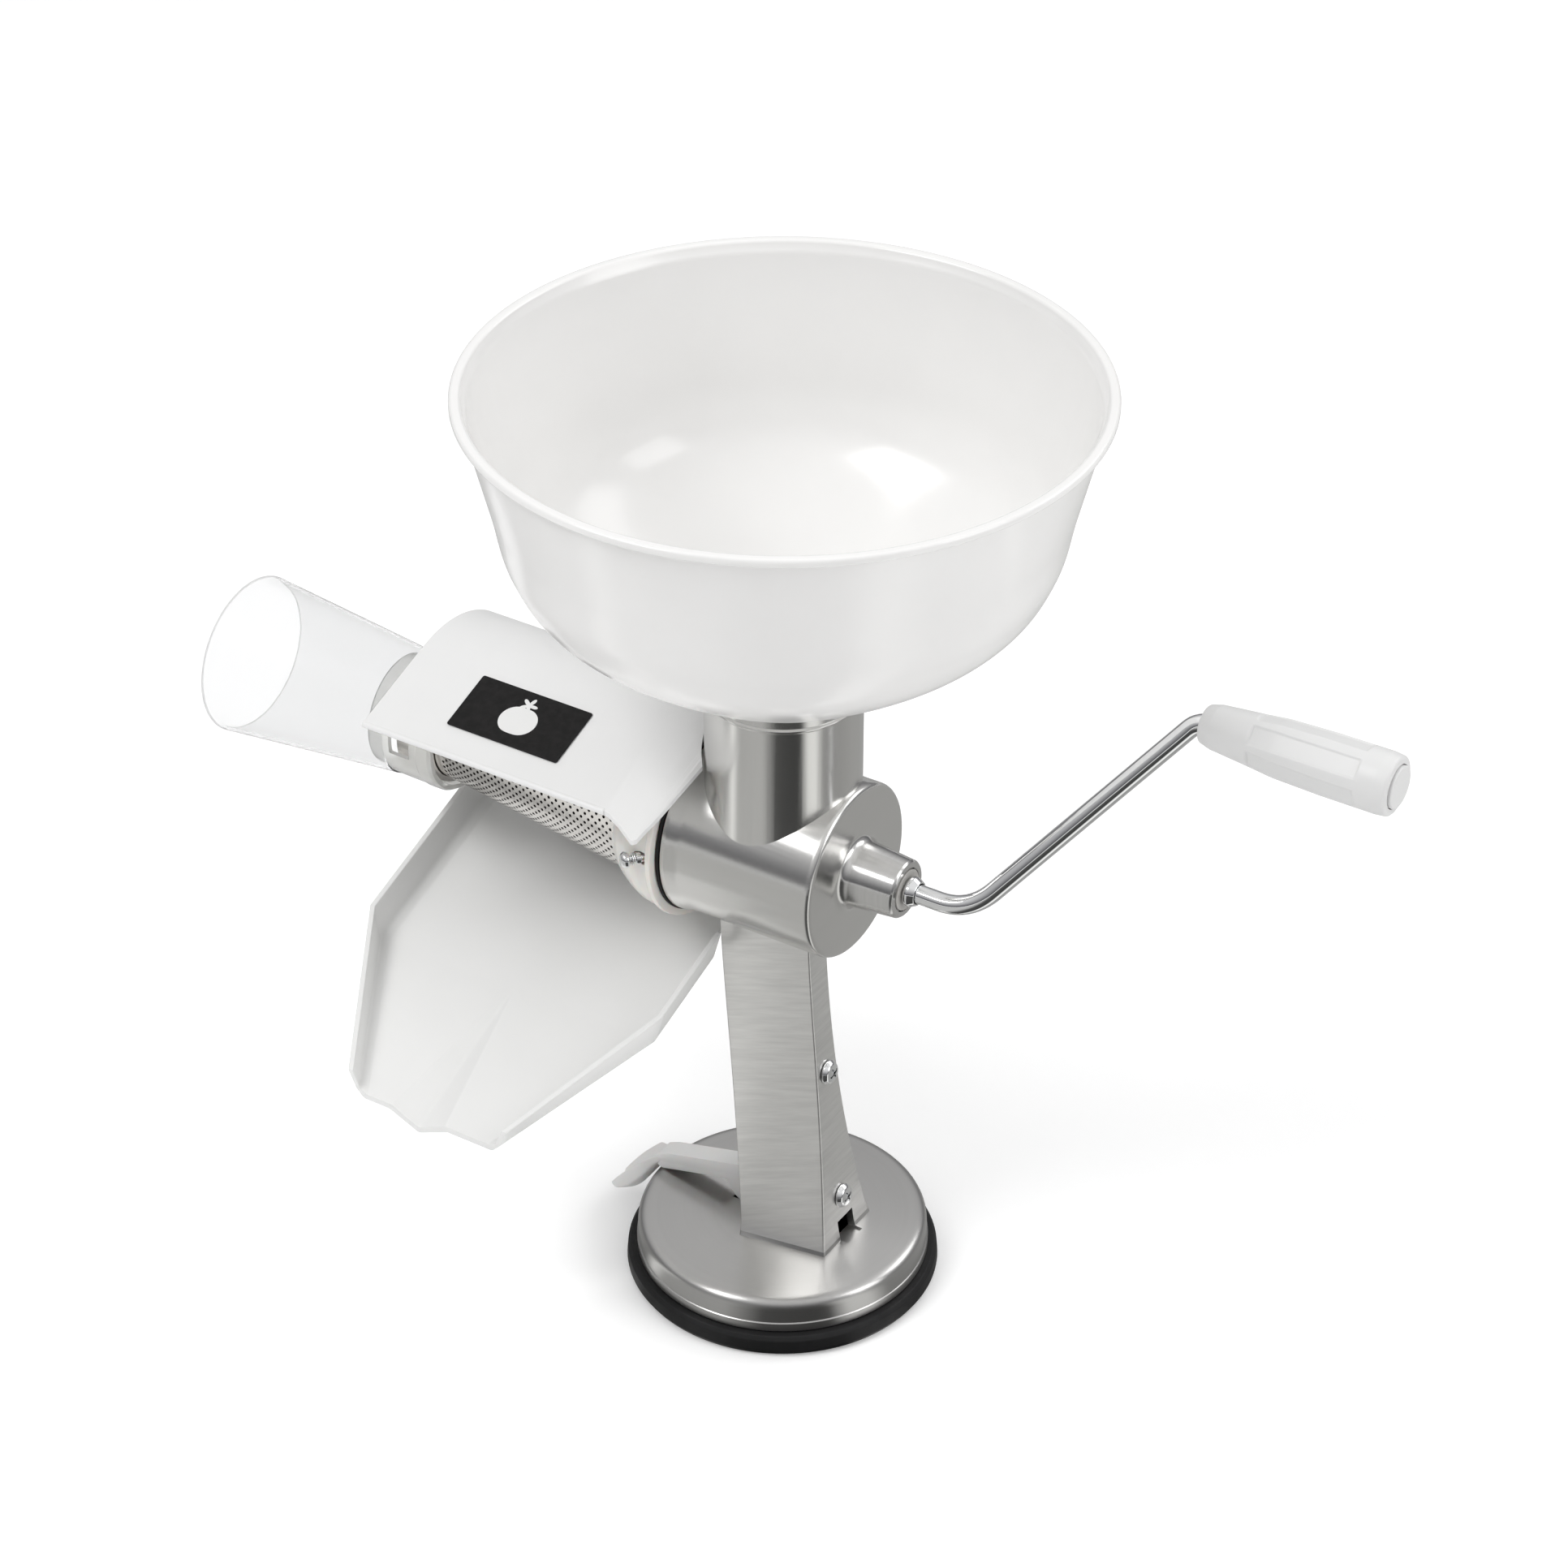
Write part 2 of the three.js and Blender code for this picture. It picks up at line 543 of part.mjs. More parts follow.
// Cross-section of the tray at a place along its slope, with the spout groove near the lip.
function chuteSection(y) {
  const past = Math.max(0, (CHUTE_BEND_Y - y) / (CHUTE_BEND_Y - CHUTE_LIP_Y));
  const left = CHUTE_X0 + 38 * past;
  const right = CHUTE_X1 - 26.5 * past;
  const rim = CHUTE_RIM_Z + CHUTE_SLOPE * y;
  const depth = CHUTE_DEPTH - 5 * past;
  const floor = rim - depth;
  const middle = -90 + 2 * past;
  const half = 0.6 + 12 * past;
  const groove = 6 * past;
  const inset = 3.6;
  const t = CHUTE_WALL;
  return [
    [left - t, rim], [left, rim], [left + inset * 0.5, floor + 3], [left + inset + 2, floor],
    [middle - half, floor], [middle, floor - groove], [middle + half, floor],
    [right - inset - 2, floor], [right - inset * 0.5, floor + 3], [right, rim], [right + t, rim],
    [right + t - inset, floor + 1], [right - inset - 1, floor - t], [middle + half + 1, floor - t],
    [middle, floor - t - groove], [middle - half - 1, floor - t], [left + inset + 1, floor - t],
    [left - t + inset, floor + 1],
  ];
}

function sauceChute() {
  const stations = [CHUTE_BACK_Y, 0, CHUTE_BEND_Y + 3, CHUTE_BEND_Y, ...levels(-62, CHUTE_LIP_Y, 5)];
  const rings = stations.map((y) => chuteSection(y).map(([x, z]) => new THREE.Vector3(x, y, z)));
  const outline = chuteSection(CHUTE_BACK_Y).map(([x, z]) => new THREE.Vector2(x, z));
  const tray = loft(rings, outline);
  const corners = (y, drop) => {
    const rim = CHUTE_RIM_Z + CHUTE_SLOPE * y;
    return [[CHUTE_X0 - 1, rim - drop], [CHUTE_X1 + 1, rim - drop], [CHUTE_X1 - 2, rim - CHUTE_DEPTH - 1],
      [CHUTE_X0 + 2, rim - CHUTE_DEPTH - 1]].map(([x, z]) => new THREE.Vector3(x, y, z));
  };
  const square = [[0, 1], [1, 1], [1, 0], [0, 0]].map(([u, v]) => new THREE.Vector2(u, v));
  const back = loft([corners(CHUTE_BACK_Y, 0), corners(CHUTE_BACK_Y - CHUTE_WALL, 0)], square);
  const postClear = box(-29, 0, -13.6, 60, 120, 200);
  return cut(join(tray, back), postClear);
}

const materials = {
  aluminium: { color: 0xc9cacb, roughness: 0.34, metalness: 1 },
  steel: { color: 0xc4c3be, roughness: 0.28, metalness: 1 },
  chrome: { color: 0xd9dbdd, roughness: 0.08, metalness: 1 },
  rubber: { color: 0x1b1b1c, roughness: 0.7, metalness: 0 },
  hopperWhite: { color: 0xe9e8e5, roughness: 0.25, metalness: 0 },
  hoodWhite: { color: 0xe8e7e5, roughness: 0.45, metalness: 0 },
  trayWhite: { color: 0xe6e6e3, roughness: 0.25, metalness: 0 },
  gripWhite: { color: 0xe4e4e3, roughness: 0.5, metalness: 0 },
  nylon: { color: 0xdcdcda, roughness: 0.4, metalness: 0 },
  collar: { color: 0xd9d7d0, roughness: 0.35, metalness: 0 },
  bushing: { color: 0x9a9890, roughness: 0.45, metalness: 0.6 },
  clear: { color: 0xf2f4f5, roughness: 0.08, metalness: 0, transparent: true, opacity: 0.35 },
  label: { color: 0x242322, roughness: 0.5, metalness: 0 },
};

const foodMill = new THREE.Group();
foodMill.name = 'food_mill';

function add(parent, name, geometry, material) {
  const mesh = new THREE.Mesh(geometry, new THREE.MeshStandardMaterial(materials[material]));
  mesh.name = name;
  parent.add(mesh);
  return mesh;
}

// Everything that is round about the barrel hangs in a group on the barrel's axis.
const onAxis = new THREE.Group();
onAxis.position.set(0, 0, AXIS_Z);
foodMill.add(onAxis);

const gripGroup = new THREE.Group();
gripGroup.position.set(
  GRIP_START_X, CRANK_THROW * Math.cos(CRANK_ANGLE), CRANK_THROW * Math.sin(CRANK_ANGLE));
onAxis.add(gripGroup);

const screwGroup = new THREE.Group();
screwGroup.position.copy(LOCK_SCREW);
screwGroup.rotation.z = LOCK_SCREW_TURN;
onAxis.add(screwGroup);

add(foodMill, 'body_casting', bodyCasting(), 'aluminium');
add(foodMill, 'suction_pad', suctionPad(), 'rubber');
add(foodMill, 'pull_stud', pullStud(), 'steel');
add(foodMill, 'lever_bracket', leverBracket(), 'steel');
add(foodMill, 'suction_lever', suctionLever(), 'nylon');
add(foodMill, 'lever_drive_pin', latheX([[0, -4.3], [1.5, -4.3], [1.5, 4.3], [0, 4.3]], 16)
  .rotateZ(Math.PI / 2).translate(PIVOT_X + DRIVE_OFFSET, 0, PIVOT_Z), 'steel');
for (const [name, z] of [['bracket_screw_upper', 102], ['bracket_screw_lower', 43]]) {
  const screw = add(foodMill, name, panScrew(), 'steel');
  screw.position.set(postRight(z), 0, z);
  screw.rotation.y = -postTilt(z);
}

add(foodMill, 'hopper', hopper(), 'hopperWhite');

add(onAxis, 'crank_bushing', latheX(ring([[7, 27.4], [7, 53.6], [8.2, 53.7], [8.2, 55.4]],
  [[4.2, 27.4], [4.2, 55.4]]), 32), 'bushing');
add(onAxis, 'crank_rod', crankRod(), 'chrome');
add(onAxis, 'crank_collar', latheX(ring([[5.2, 55.8], [6, 56.6], [6, 58.2], [4.7, 60.4]],
  [[4.15, 55.8], [4.15, 60.4]]), 32), 'chrome');
add(gripGroup, 'crank_grip', crankGrip(), 'gripWhite');
add(gripGroup, 'grip_end_plug', latheX([
  [0, 74.9], [8.2, 74.9], [8.2, 78.2], [7.8, 78.5], [0, 78.5]], 32), 'gripWhite');
add(onAxis, 'spiral', spiral(), 'nylon');
add(onAxis, 'spiral_spring', coil(15.6, 25.4, 11.6, 0.8, 3, 5, 36), 'steel');

add(onAxis, 'barrel_gasket', latheX(ring([[36.6, -34.7], [36.6, -33.3]], [[31, -34.7], [31, -33.3]])),
  'rubber');
add(onAxis, 'screen_cone', screenCone(), 'steel');
add(onAxis, 'screen_collar', screenCollar(), 'collar');
add(onAxis, 'screen_end_ring', latheX(ring([[21.9, -167], [21.9, -150.5]], [[19.5, -167], [19.5, -159]]
  .concat([[19.5, -150.5]]))), 'steel');
add(screwGroup, 'lock_screw', lockScrew(), 'chrome');
add(screwGroup, 'lock_screw_spring', coil(2.8, 4.3, 2.3, 0.32, 2, 5, 24), 'chrome');
add(onAxis, 'collar_lug', box(-43.4, -38.2, -7, 7, 38.6, 42.6).rotateX(1.08), 'collar');

add(onAxis, 'waste_coupling', wasteCoupling(), 'clear');
add(onAxis, 'waste_cone', wasteCone(), 'clear');
add(onAxis, 'splash_shield', splashShield(), 'hoodWhite');
add(onAxis, 'shield_label', shieldLabel(), 'label');
add(foodMill, 'sauce_chute', sauceChute(), 'trayWhite');

export default foodMill;
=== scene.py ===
"""Looks for the suction-base food mill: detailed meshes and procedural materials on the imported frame.

Shapes are drawn in millimetres, in the row frame: +X along the barrel towards the crank, -Y towards
the tray, +Z up, with the origin under the middle of the suction pad.
"""
import math

import bmesh
import bpy
from mathutils import Matrix, Vector


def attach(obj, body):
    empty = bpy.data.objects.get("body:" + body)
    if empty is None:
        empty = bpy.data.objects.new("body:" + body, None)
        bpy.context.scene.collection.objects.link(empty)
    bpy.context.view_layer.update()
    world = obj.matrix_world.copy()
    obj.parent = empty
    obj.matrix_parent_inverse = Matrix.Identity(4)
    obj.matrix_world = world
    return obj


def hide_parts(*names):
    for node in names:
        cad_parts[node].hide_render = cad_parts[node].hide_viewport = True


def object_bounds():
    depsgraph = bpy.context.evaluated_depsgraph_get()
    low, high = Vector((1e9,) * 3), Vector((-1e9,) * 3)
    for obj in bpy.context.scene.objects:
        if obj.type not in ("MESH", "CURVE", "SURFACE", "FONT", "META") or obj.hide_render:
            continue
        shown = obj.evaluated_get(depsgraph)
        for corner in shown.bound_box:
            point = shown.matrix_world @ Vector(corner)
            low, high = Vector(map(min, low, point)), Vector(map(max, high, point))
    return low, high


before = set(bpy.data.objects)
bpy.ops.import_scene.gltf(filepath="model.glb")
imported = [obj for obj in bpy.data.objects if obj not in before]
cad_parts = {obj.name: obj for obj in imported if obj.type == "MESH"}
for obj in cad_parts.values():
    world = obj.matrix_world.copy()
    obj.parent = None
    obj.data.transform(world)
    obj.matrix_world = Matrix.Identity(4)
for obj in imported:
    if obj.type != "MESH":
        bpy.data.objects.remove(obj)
cad_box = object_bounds()

MM = 0.001
AXIS_Z = 202.5
SEGMENTS = 128

BARREL_OPEN_X = -33
BARREL_CAP_X = 32.7
BOSS_END_X = 54.9
NECK_TOP = 278
POST_WIDTH = 41.2
POST_WALL = 3.2
CHANNEL_TOP = 150
PAD_TOP = 9

HOPPER_R = 119.9
HOPPER_TOP = 400.9
HOPPER_WALL = 2.2

ROD_R = 3.8
CRANK_ANGLE = math.radians(60)
CRANK_THROW = 95
CRANK_BEND_X = 82
GRIP_BEND_X = 148.5
GRIP_START_X = 151.2
GRIP_END_X = 228.3

SCREEN_BIG_X = -36.8
SCREEN_SMALL_X = -158
HOLES_FROM_X = -59
HOLES_TO_X = -147

SHIELD_X0 = -156
SHIELD_X1 = -23
SHIELD_ROLL_X = -36
SHIELD_R = 48
SHIELD_WALL = 1.9
SHIELD_SLOPE = math.radians(18.2)
SHIELD_LIP_Y = -55.5
SHIELD_SKIRT_Z = 174

CHUTE_X0 = -156.3
CHUTE_X1 = -22.3
CHUTE_BACK_Y = 45.4
CHUTE_BEND_Y = -55
CHUTE_LIP_Y = -122
CHUTE_RIM_Z = 166
CHUTE_SLOPE = 0.34
CHUTE_WALL = 2.4
CHUTE_DEPTH = 14

PIVOT = (-6, 0, 40)
LEVER_HALF = 4.5
LOCK_SCREW = (-39.8, -37.8, AXIS_Z + 1.5)
LOCK_SCREW_TURN = math.radians(-135)

FLOOR_HALF = 14000
CARD_HALF = 2500
FLOOR_DROP = 0.2
CARD_DROP = 0.1

# The camera that the photograph was taken with: angles in degrees, place in metres.
CAMERA_AZIMUTH = 32.162
CAMERA_ELEVATION = 33.912
CAMERA_ROLL = 0.149
CAMERA_LENS = 100.62
CAMERA_SENSOR = 36
CAMERA_FAR = 20
CAMERA_PLACE = (0.73229, -1.16431, 1.15531)

# The casting's finishes, in the order of its material slots.
BARREL, NECK, POST, DISC, BOSS, INSIDE, CAP = range(7)


# ---------------------------------------------------------------- mesh helpers

def to_object(name, bm):
    """Makes a mesh object, in metres, from a bmesh drawn in millimetres."""
    bmesh.ops.remove_doubles(bm, verts=bm.verts, dist=1e-4)
    bmesh.ops.recalc_face_normals(bm, faces=bm.faces)
    bmesh.ops.scale(bm, vec=(MM, MM, MM), verts=bm.verts)
    mesh = bpy.data.meshes.new(name)
    bm.to_mesh(mesh)
    bm.free()
    obj = bpy.data.objects.new(name, mesh)
    bpy.context.scene.collection.objects.link(obj)
    return obj


def skin(name, rings, close_rings=True, caps=True):
    """Skins rows of points. Rings that shrink to a point on the axis are welded by to_object."""
    bm = bmesh.new()
    rows = [[bm.verts.new(p) for p in ring] for ring in rings]
    count = len(rows[0])
    last = count if close_rings else count - 1
    for low, high in zip(rows, rows[1:]):
        for j in range(last):
            k = (j + 1) % count
            corners = [low[j], low[k], high[k], high[j]]
            if len({tuple(round(c, 5) for c in v.co) for v in corners}) > 2:
                bm.faces.new(corners)
    if caps:
        bm.faces.new(list(reversed(rows[0])))
        bm.faces.new(rows[-1])
    bmesh.ops.dissolve_degenerate(bm, dist=1e-5, edges=bm.edges)
    return to_object(name, bm)


def rounded(profile, radius=0.5, steps=4):
    """Rounds the corners of an open line of (u, v) points. A point may carry its own radius."""
    out = [tuple(profile[0][:2])]
    for before, here, after in zip(profile, profile[1:], profile[2:]):
        r = here[2] if len(here) > 2 else radius
        p = Vector(here[:2])
        a = Vector(before[:2]) - p
        b = Vector(after[:2]) - p
        if r <= 0 or a.length < 1e-6 or b.length < 1e-6:
            out.append(tuple(p))
            continue
        reach = min(r / math.tan(max(0.05, a.angle(b)) / 2), a.length * 0.48, b.length * 0.48)
        start = p + a.normalized() * reach
        end = p + b.normalized() * reach
        for i in range(steps + 1):
            t = i / steps
            out.append(tuple((1 - t) ** 2 * start + 2 * t * (1 - t) * p + t ** 2 * end))
    out.append(tuple(profile[-1][:2]))
    return out


def lathe(name, profile, axis="Z", segments=SEGMENTS, centre_z=None):
    """Turns [(radius, height)] about Z, or about the barrel's axis when axis is X."""
    centre_z = centre_z if centre_z is not None else (AXIS_Z if axis == "X" else 0)
    rings = []
    for r, h in profile:
        ring = []
        for j in range(segments):
            a = 2 * math.pi * j / segments
            u, v = r * math.cos(a), r * math.sin(a)
            ring.append((h, u, v + centre_z) if axis == "X" else (u, v, h))
        rings.append(ring)
    return skin(name, rings, caps=False)


def ring_profile(outer, inner):
    """Closes an outer line and an inner line, which run the same way, into one profile."""
    return [*outer, *reversed(inner), outer[0]]


def extrude_section(name, section, low, high, axis):
    """A prism: section is (y, z) along X, or (x, z) along Y."""
    place = (lambda p, h: (h, p[0], p[1])) if axis == "X" else (lambda p, h: (p[0], h, p[1]))
    return skin(name, [[place(p, low) for p in section], [place(p, high) for p in section]])


def block(name, x0, x1, y0, y1, z0, z1):
    return extrude_section(name, [(y0, z0), (y1, z0), (y1, z1), (y0, z1)], x0, x1, "X")


def tube(name, points, radius, sides):
    """A round bar along points, with a frame that turns as little as it can."""
    points = [Vector(p) for p in points]
    rings = []
    normal = None
    for i, p in enumerate(points):
        ahead = points[min(i + 1, len(points) - 1)] - points[max(i - 1, 0)]
        ahead.normalize()
        if normal is None:
            normal = ahead.orthogonal().normalized()
        normal = (normal - ahead * normal.dot(ahead)).normalized()
        side = ahead.cross(normal)
        ring = []
        for j in range(sides):
            a = 2 * math.pi * j / sides
            ring.append(p + (normal * math.cos(a) + side * math.sin(a)) * radius)
        rings.append(ring)
    return skin(name, rings)


def coil_points(x0, x1, radius, turns, steps):
    return [(x0 + (x1 - x0) * i / steps,
             radius * math.cos(2 * math.pi * turns * i / steps),
             radius * math.sin(2 * math.pi * turns * i / steps)) for i in range(steps + 1)]


def bake(obj):
    """Applies the object's modifiers."""
    bpy.context.view_layer.update()
    graph = bpy.context.evaluated_depsgraph_get()
    mesh = bpy.data.meshes.new_from_object(obj.evaluated_get(graph))
    obj.modifiers.clear()
    old = obj.data
    obj.data = mesh
    bpy.data.meshes.remove(old)
    return obj


def combine(obj, operation, *tools):
    """Boolean of obj with each tool in turn. The tools are used up."""
    for tool in tools:
        modifier = obj.modifiers.new("boolean", "BOOLEAN")
        modifier.operation = operation
        modifier.solver = "MANIFOLD"
        modifier.object = tool
        bake(obj)
        bpy.data.objects.remove(tool)
    return obj


def bevel(obj, width, segments=3, angle=32):
    modifier = obj.modifiers.new("bevel", "BEVEL")
    modifier.width = width * MM
    modifier.segments = segments
    modifier.limit_method = "ANGLE"
    modifier.angle_limit = math.radians(angle)
    modifier.use_clamp_overlap = True
    return bake(obj)


def dress(obj, body, slot, materials, replaces=None, angle=35, pick=None):
    """Smooths a piece, gives it its materials, and hangs it on its body."""
    obj.data.shade_smooth()
    obj.data.set_sharp_from_angle(angle=math.radians(angle))
    materials = materials if isinstance(materials, (list, tuple)) else [materials]
    obj.data.materials.clear()
    for m in materials:
        obj.data.materials.append(m)
    for face in obj.data.polygons:
        face.material_index = pick(face.center / MM, face.normal) if pick else 0
    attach(obj, body)
    if replaces:
        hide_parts(*([replaces] if isinstance(replaces, str) else replaces))
    return obj


def move(obj, matrix):
    obj.data.transform(matrix)
    return obj


def about(turn, at):
    """Places a shape drawn about the origin: turned, then moved to a point in millimetres."""
    return Matrix.Translation(Vector(at) * MM) @ turn.to_4x4()


# ------------------------------------------------------------ material helpers

class Paint:
    """A node material with one Principled shader and object-space coordinates."""

    def __init__(self, name, color, roughness, metallic=0.0, **sockets):
        self.material = bpy.data.materials.new(name)
        self.material.use_nodes = True
        self.tree = self.material.node_tree
        self.shader = self.tree.nodes["Principled BSDF"]
        self.color = color
        self.roughness = roughness
        self.shader.inputs["Base Color"].default_value = (*color, 1)
        self.shader.inputs["Roughness"].default_value = roughness
        self.shader.inputs["Metallic"].default_value = metallic
        for key, value in sockets.items():
            self.shader.inputs[key.replace("_", " ")].default_value = value
        self.place = self.tree.nodes.new("ShaderNodeTexCoord").outputs["Object"]
        self.heights = []

    def link(self, a, b):
        self.tree.links.new(a, b)

    def math(self, operation, a, b):
        node = self.tree.nodes.new("ShaderNodeMath")
        node.operation = operation
        for socket, value in zip(node.inputs, (a, b)):
            if isinstance(value, (int, float)):
                socket.default_value = value
            else:
                self.link(value, socket)
        return node.outputs[0]

    def noise(self, scale, stretch=(1, 1, 1), detail=4, roughness=0.55, lean=0):
        """Noise whose features are 1 / (scale * stretch) metres along each axis, leaning about Y."""
        turned = self.tree.nodes.new("ShaderNodeMapping")
        turned.inputs["Rotation"].default_value = (0, math.radians(lean), 0)
        self.link(self.place, turned.inputs["Vector"])
        mapping = self.tree.nodes.new("ShaderNodeMapping")
        mapping.inputs["Scale"].default_value = stretch
        self.link(turned.outputs[0], mapping.inputs["Vector"])
        node = self.tree.nodes.new("ShaderNodeTexNoise")
        node.inputs["Scale"].default_value = scale
        node.inputs["Detail"].default_value = detail
        node.inputs["Roughness"].default_value = roughness
        self.link(mapping.outputs[0], node.inputs["Vector"])
        return node.outputs["Fac"]

    def spin(self, centre, axis, scale):
        """Fine rings about an axis: noise of the distance from it and the place along it."""
        offset = self.tree.nodes.new("ShaderNodeVectorMath")
        offset.operation = "SUBTRACT"
        offset.inputs[1].default_value = [c * MM for c in centre]
        self.link(self.place, offset.inputs[0])
        flat = self.tree.nodes.new("ShaderNodeVectorMath")
        flat.operation = "MULTIPLY"
        flat.inputs[1].default_value = {"Z": (1, 1, 0), "X": (0, 1, 1)}[axis]
        self.link(offset.outputs[0], flat.inputs[0])
        length = self.tree.nodes.new("ShaderNodeVectorMath")
        length.operation = "LENGTH"
        self.link(flat.outputs[0], length.inputs[0])
        split = self.tree.nodes.new("ShaderNodeSeparateXYZ")
        self.link(offset.outputs[0], split.inputs[0])
        join = self.tree.nodes.new("ShaderNodeCombineXYZ")
        self.link(length.outputs["Value"], join.inputs["X"])
        self.link(split.outputs[axis], join.inputs["Y"])
        node = self.tree.nodes.new("ShaderNodeTexNoise")
        node.inputs["Scale"].default_value = scale
        node.inputs["Detail"].default_value = 3
        self.link(join.outputs[0], node.inputs["Vector"])
        return node.outputs["Fac"]

    def draw_out(self, direction, amount=0.75):
        """Draws highlights out along a fixed direction, or away from the Z axis."""
        self.shader.inputs["Anisotropic"].default_value = amount
        node = self.tree.nodes.new("ShaderNodeVectorMath")
        node.operation = "MULTIPLY" if direction == "radial" else "ADD"
        if direction == "radial":
            self.link(self.place, node.inputs[0])
            node.inputs[1].default_value = (1, 1, 0)
        else:
            node.inputs[0].default_value = direction
        unit = self.tree.nodes.new("ShaderNodeVectorMath")
        unit.operation = "NORMALIZE"
        self.link(node.outputs[0], unit.inputs[0])
        self.link(unit.outputs[0], self.shader.inputs["Tangent"])
        return self

    def vary_color(self, fac, darker, lighter):
        """Colour runs from its own value times darker to its own value times lighter."""
        ramp = self.tree.nodes.new("ShaderNodeValToRGB")
        ramp.color_ramp.elements[0].position = 0.35
        ramp.color_ramp.elements[1].position = 0.65
        ramp.color_ramp.elements[0].color = (*[c * darker for c in self.color], 1)
        ramp.color_ramp.elements[1].color = (*[min(1, c * lighter) for c in self.color], 1)
        self.link(fac, ramp.inputs[0])
        self.link(ramp.outputs[0], self.shader.inputs["Base Color"])
        return self

    def vary_roughness(self, fac, spread):
        """Roughness runs from its own value less spread to its own value plus spread."""
        node = self.tree.nodes.new("ShaderNodeMapRange")
        node.inputs["From Min"].default_value = 0.3
        node.inputs["From Max"].default_value = 0.7
        node.inputs["To Min"].default_value = self.roughness - spread
        node.inputs["To Max"].default_value = self.roughness + spread
        self.link(fac, node.inputs["Value"])
        self.link(node.outputs[0], self.shader.inputs["Roughness"])
        return self

    def bump(self, fac, depth):
        """Raises the surface by depth millimetres where fac is 1."""
        node = self.tree.nodes.new("ShaderNodeBump")
        node.inputs["Strength"].default_value = 1.0
        node.inputs["Distance"].default_value = depth * MM
        self.link(fac, node.inputs["Height"])
        if self.heights:
            self.link(self.heights[-1], node.inputs["Normal"])
        self.heights.append(node.outputs[0])
        self.link(node.outputs[0], self.shader.inputs["Normal"])
        return self


def satin_metal(name, color, roughness, streak, stretch, glow=None, contrast=0.05, depth=0.004,
                lean=0):
    """Cast or rolled metal with fine streaks: streak is their density, stretch their direction.

    Glow is the direction that its highlights are drawn out along: a fixed vector, or "radial".
    """
    paint = Paint(name, color, roughness, 1.0)
    lines = paint.noise(streak, stretch, detail=3, roughness=0.6, lean=lean)
    cloud = paint.noise(16, (1, 1, 1), detail=2)
    both = paint.math("ADD", paint.math("MULTIPLY", lines, 0.7), paint.math("MULTIPLY", cloud, 0.3))
    paint.vary_color(both, 1 - contrast, 1 + contrast)
    paint.vary_roughness(cloud, roughness * 0.1)
    if depth:
        paint.bump(lines, depth)
    if glow:
        paint.draw_out(glow)
    return paint


def moulded(name, color, roughness, grain=1400, depth=0.004, **sockets):
    """Moulded plastic: slow drift in colour and gloss, and a fine grain."""
    paint = Paint(name, color, roughness, **sockets)
    cloud = paint.noise(14, detail=3)
    fine = paint.noise(grain, detail=2)
    paint.vary_color(cloud, 0.985, 1.01)
    paint.vary_roughness(cloud, roughness * 0.18)
    paint.bump(fine, depth)
    return paint


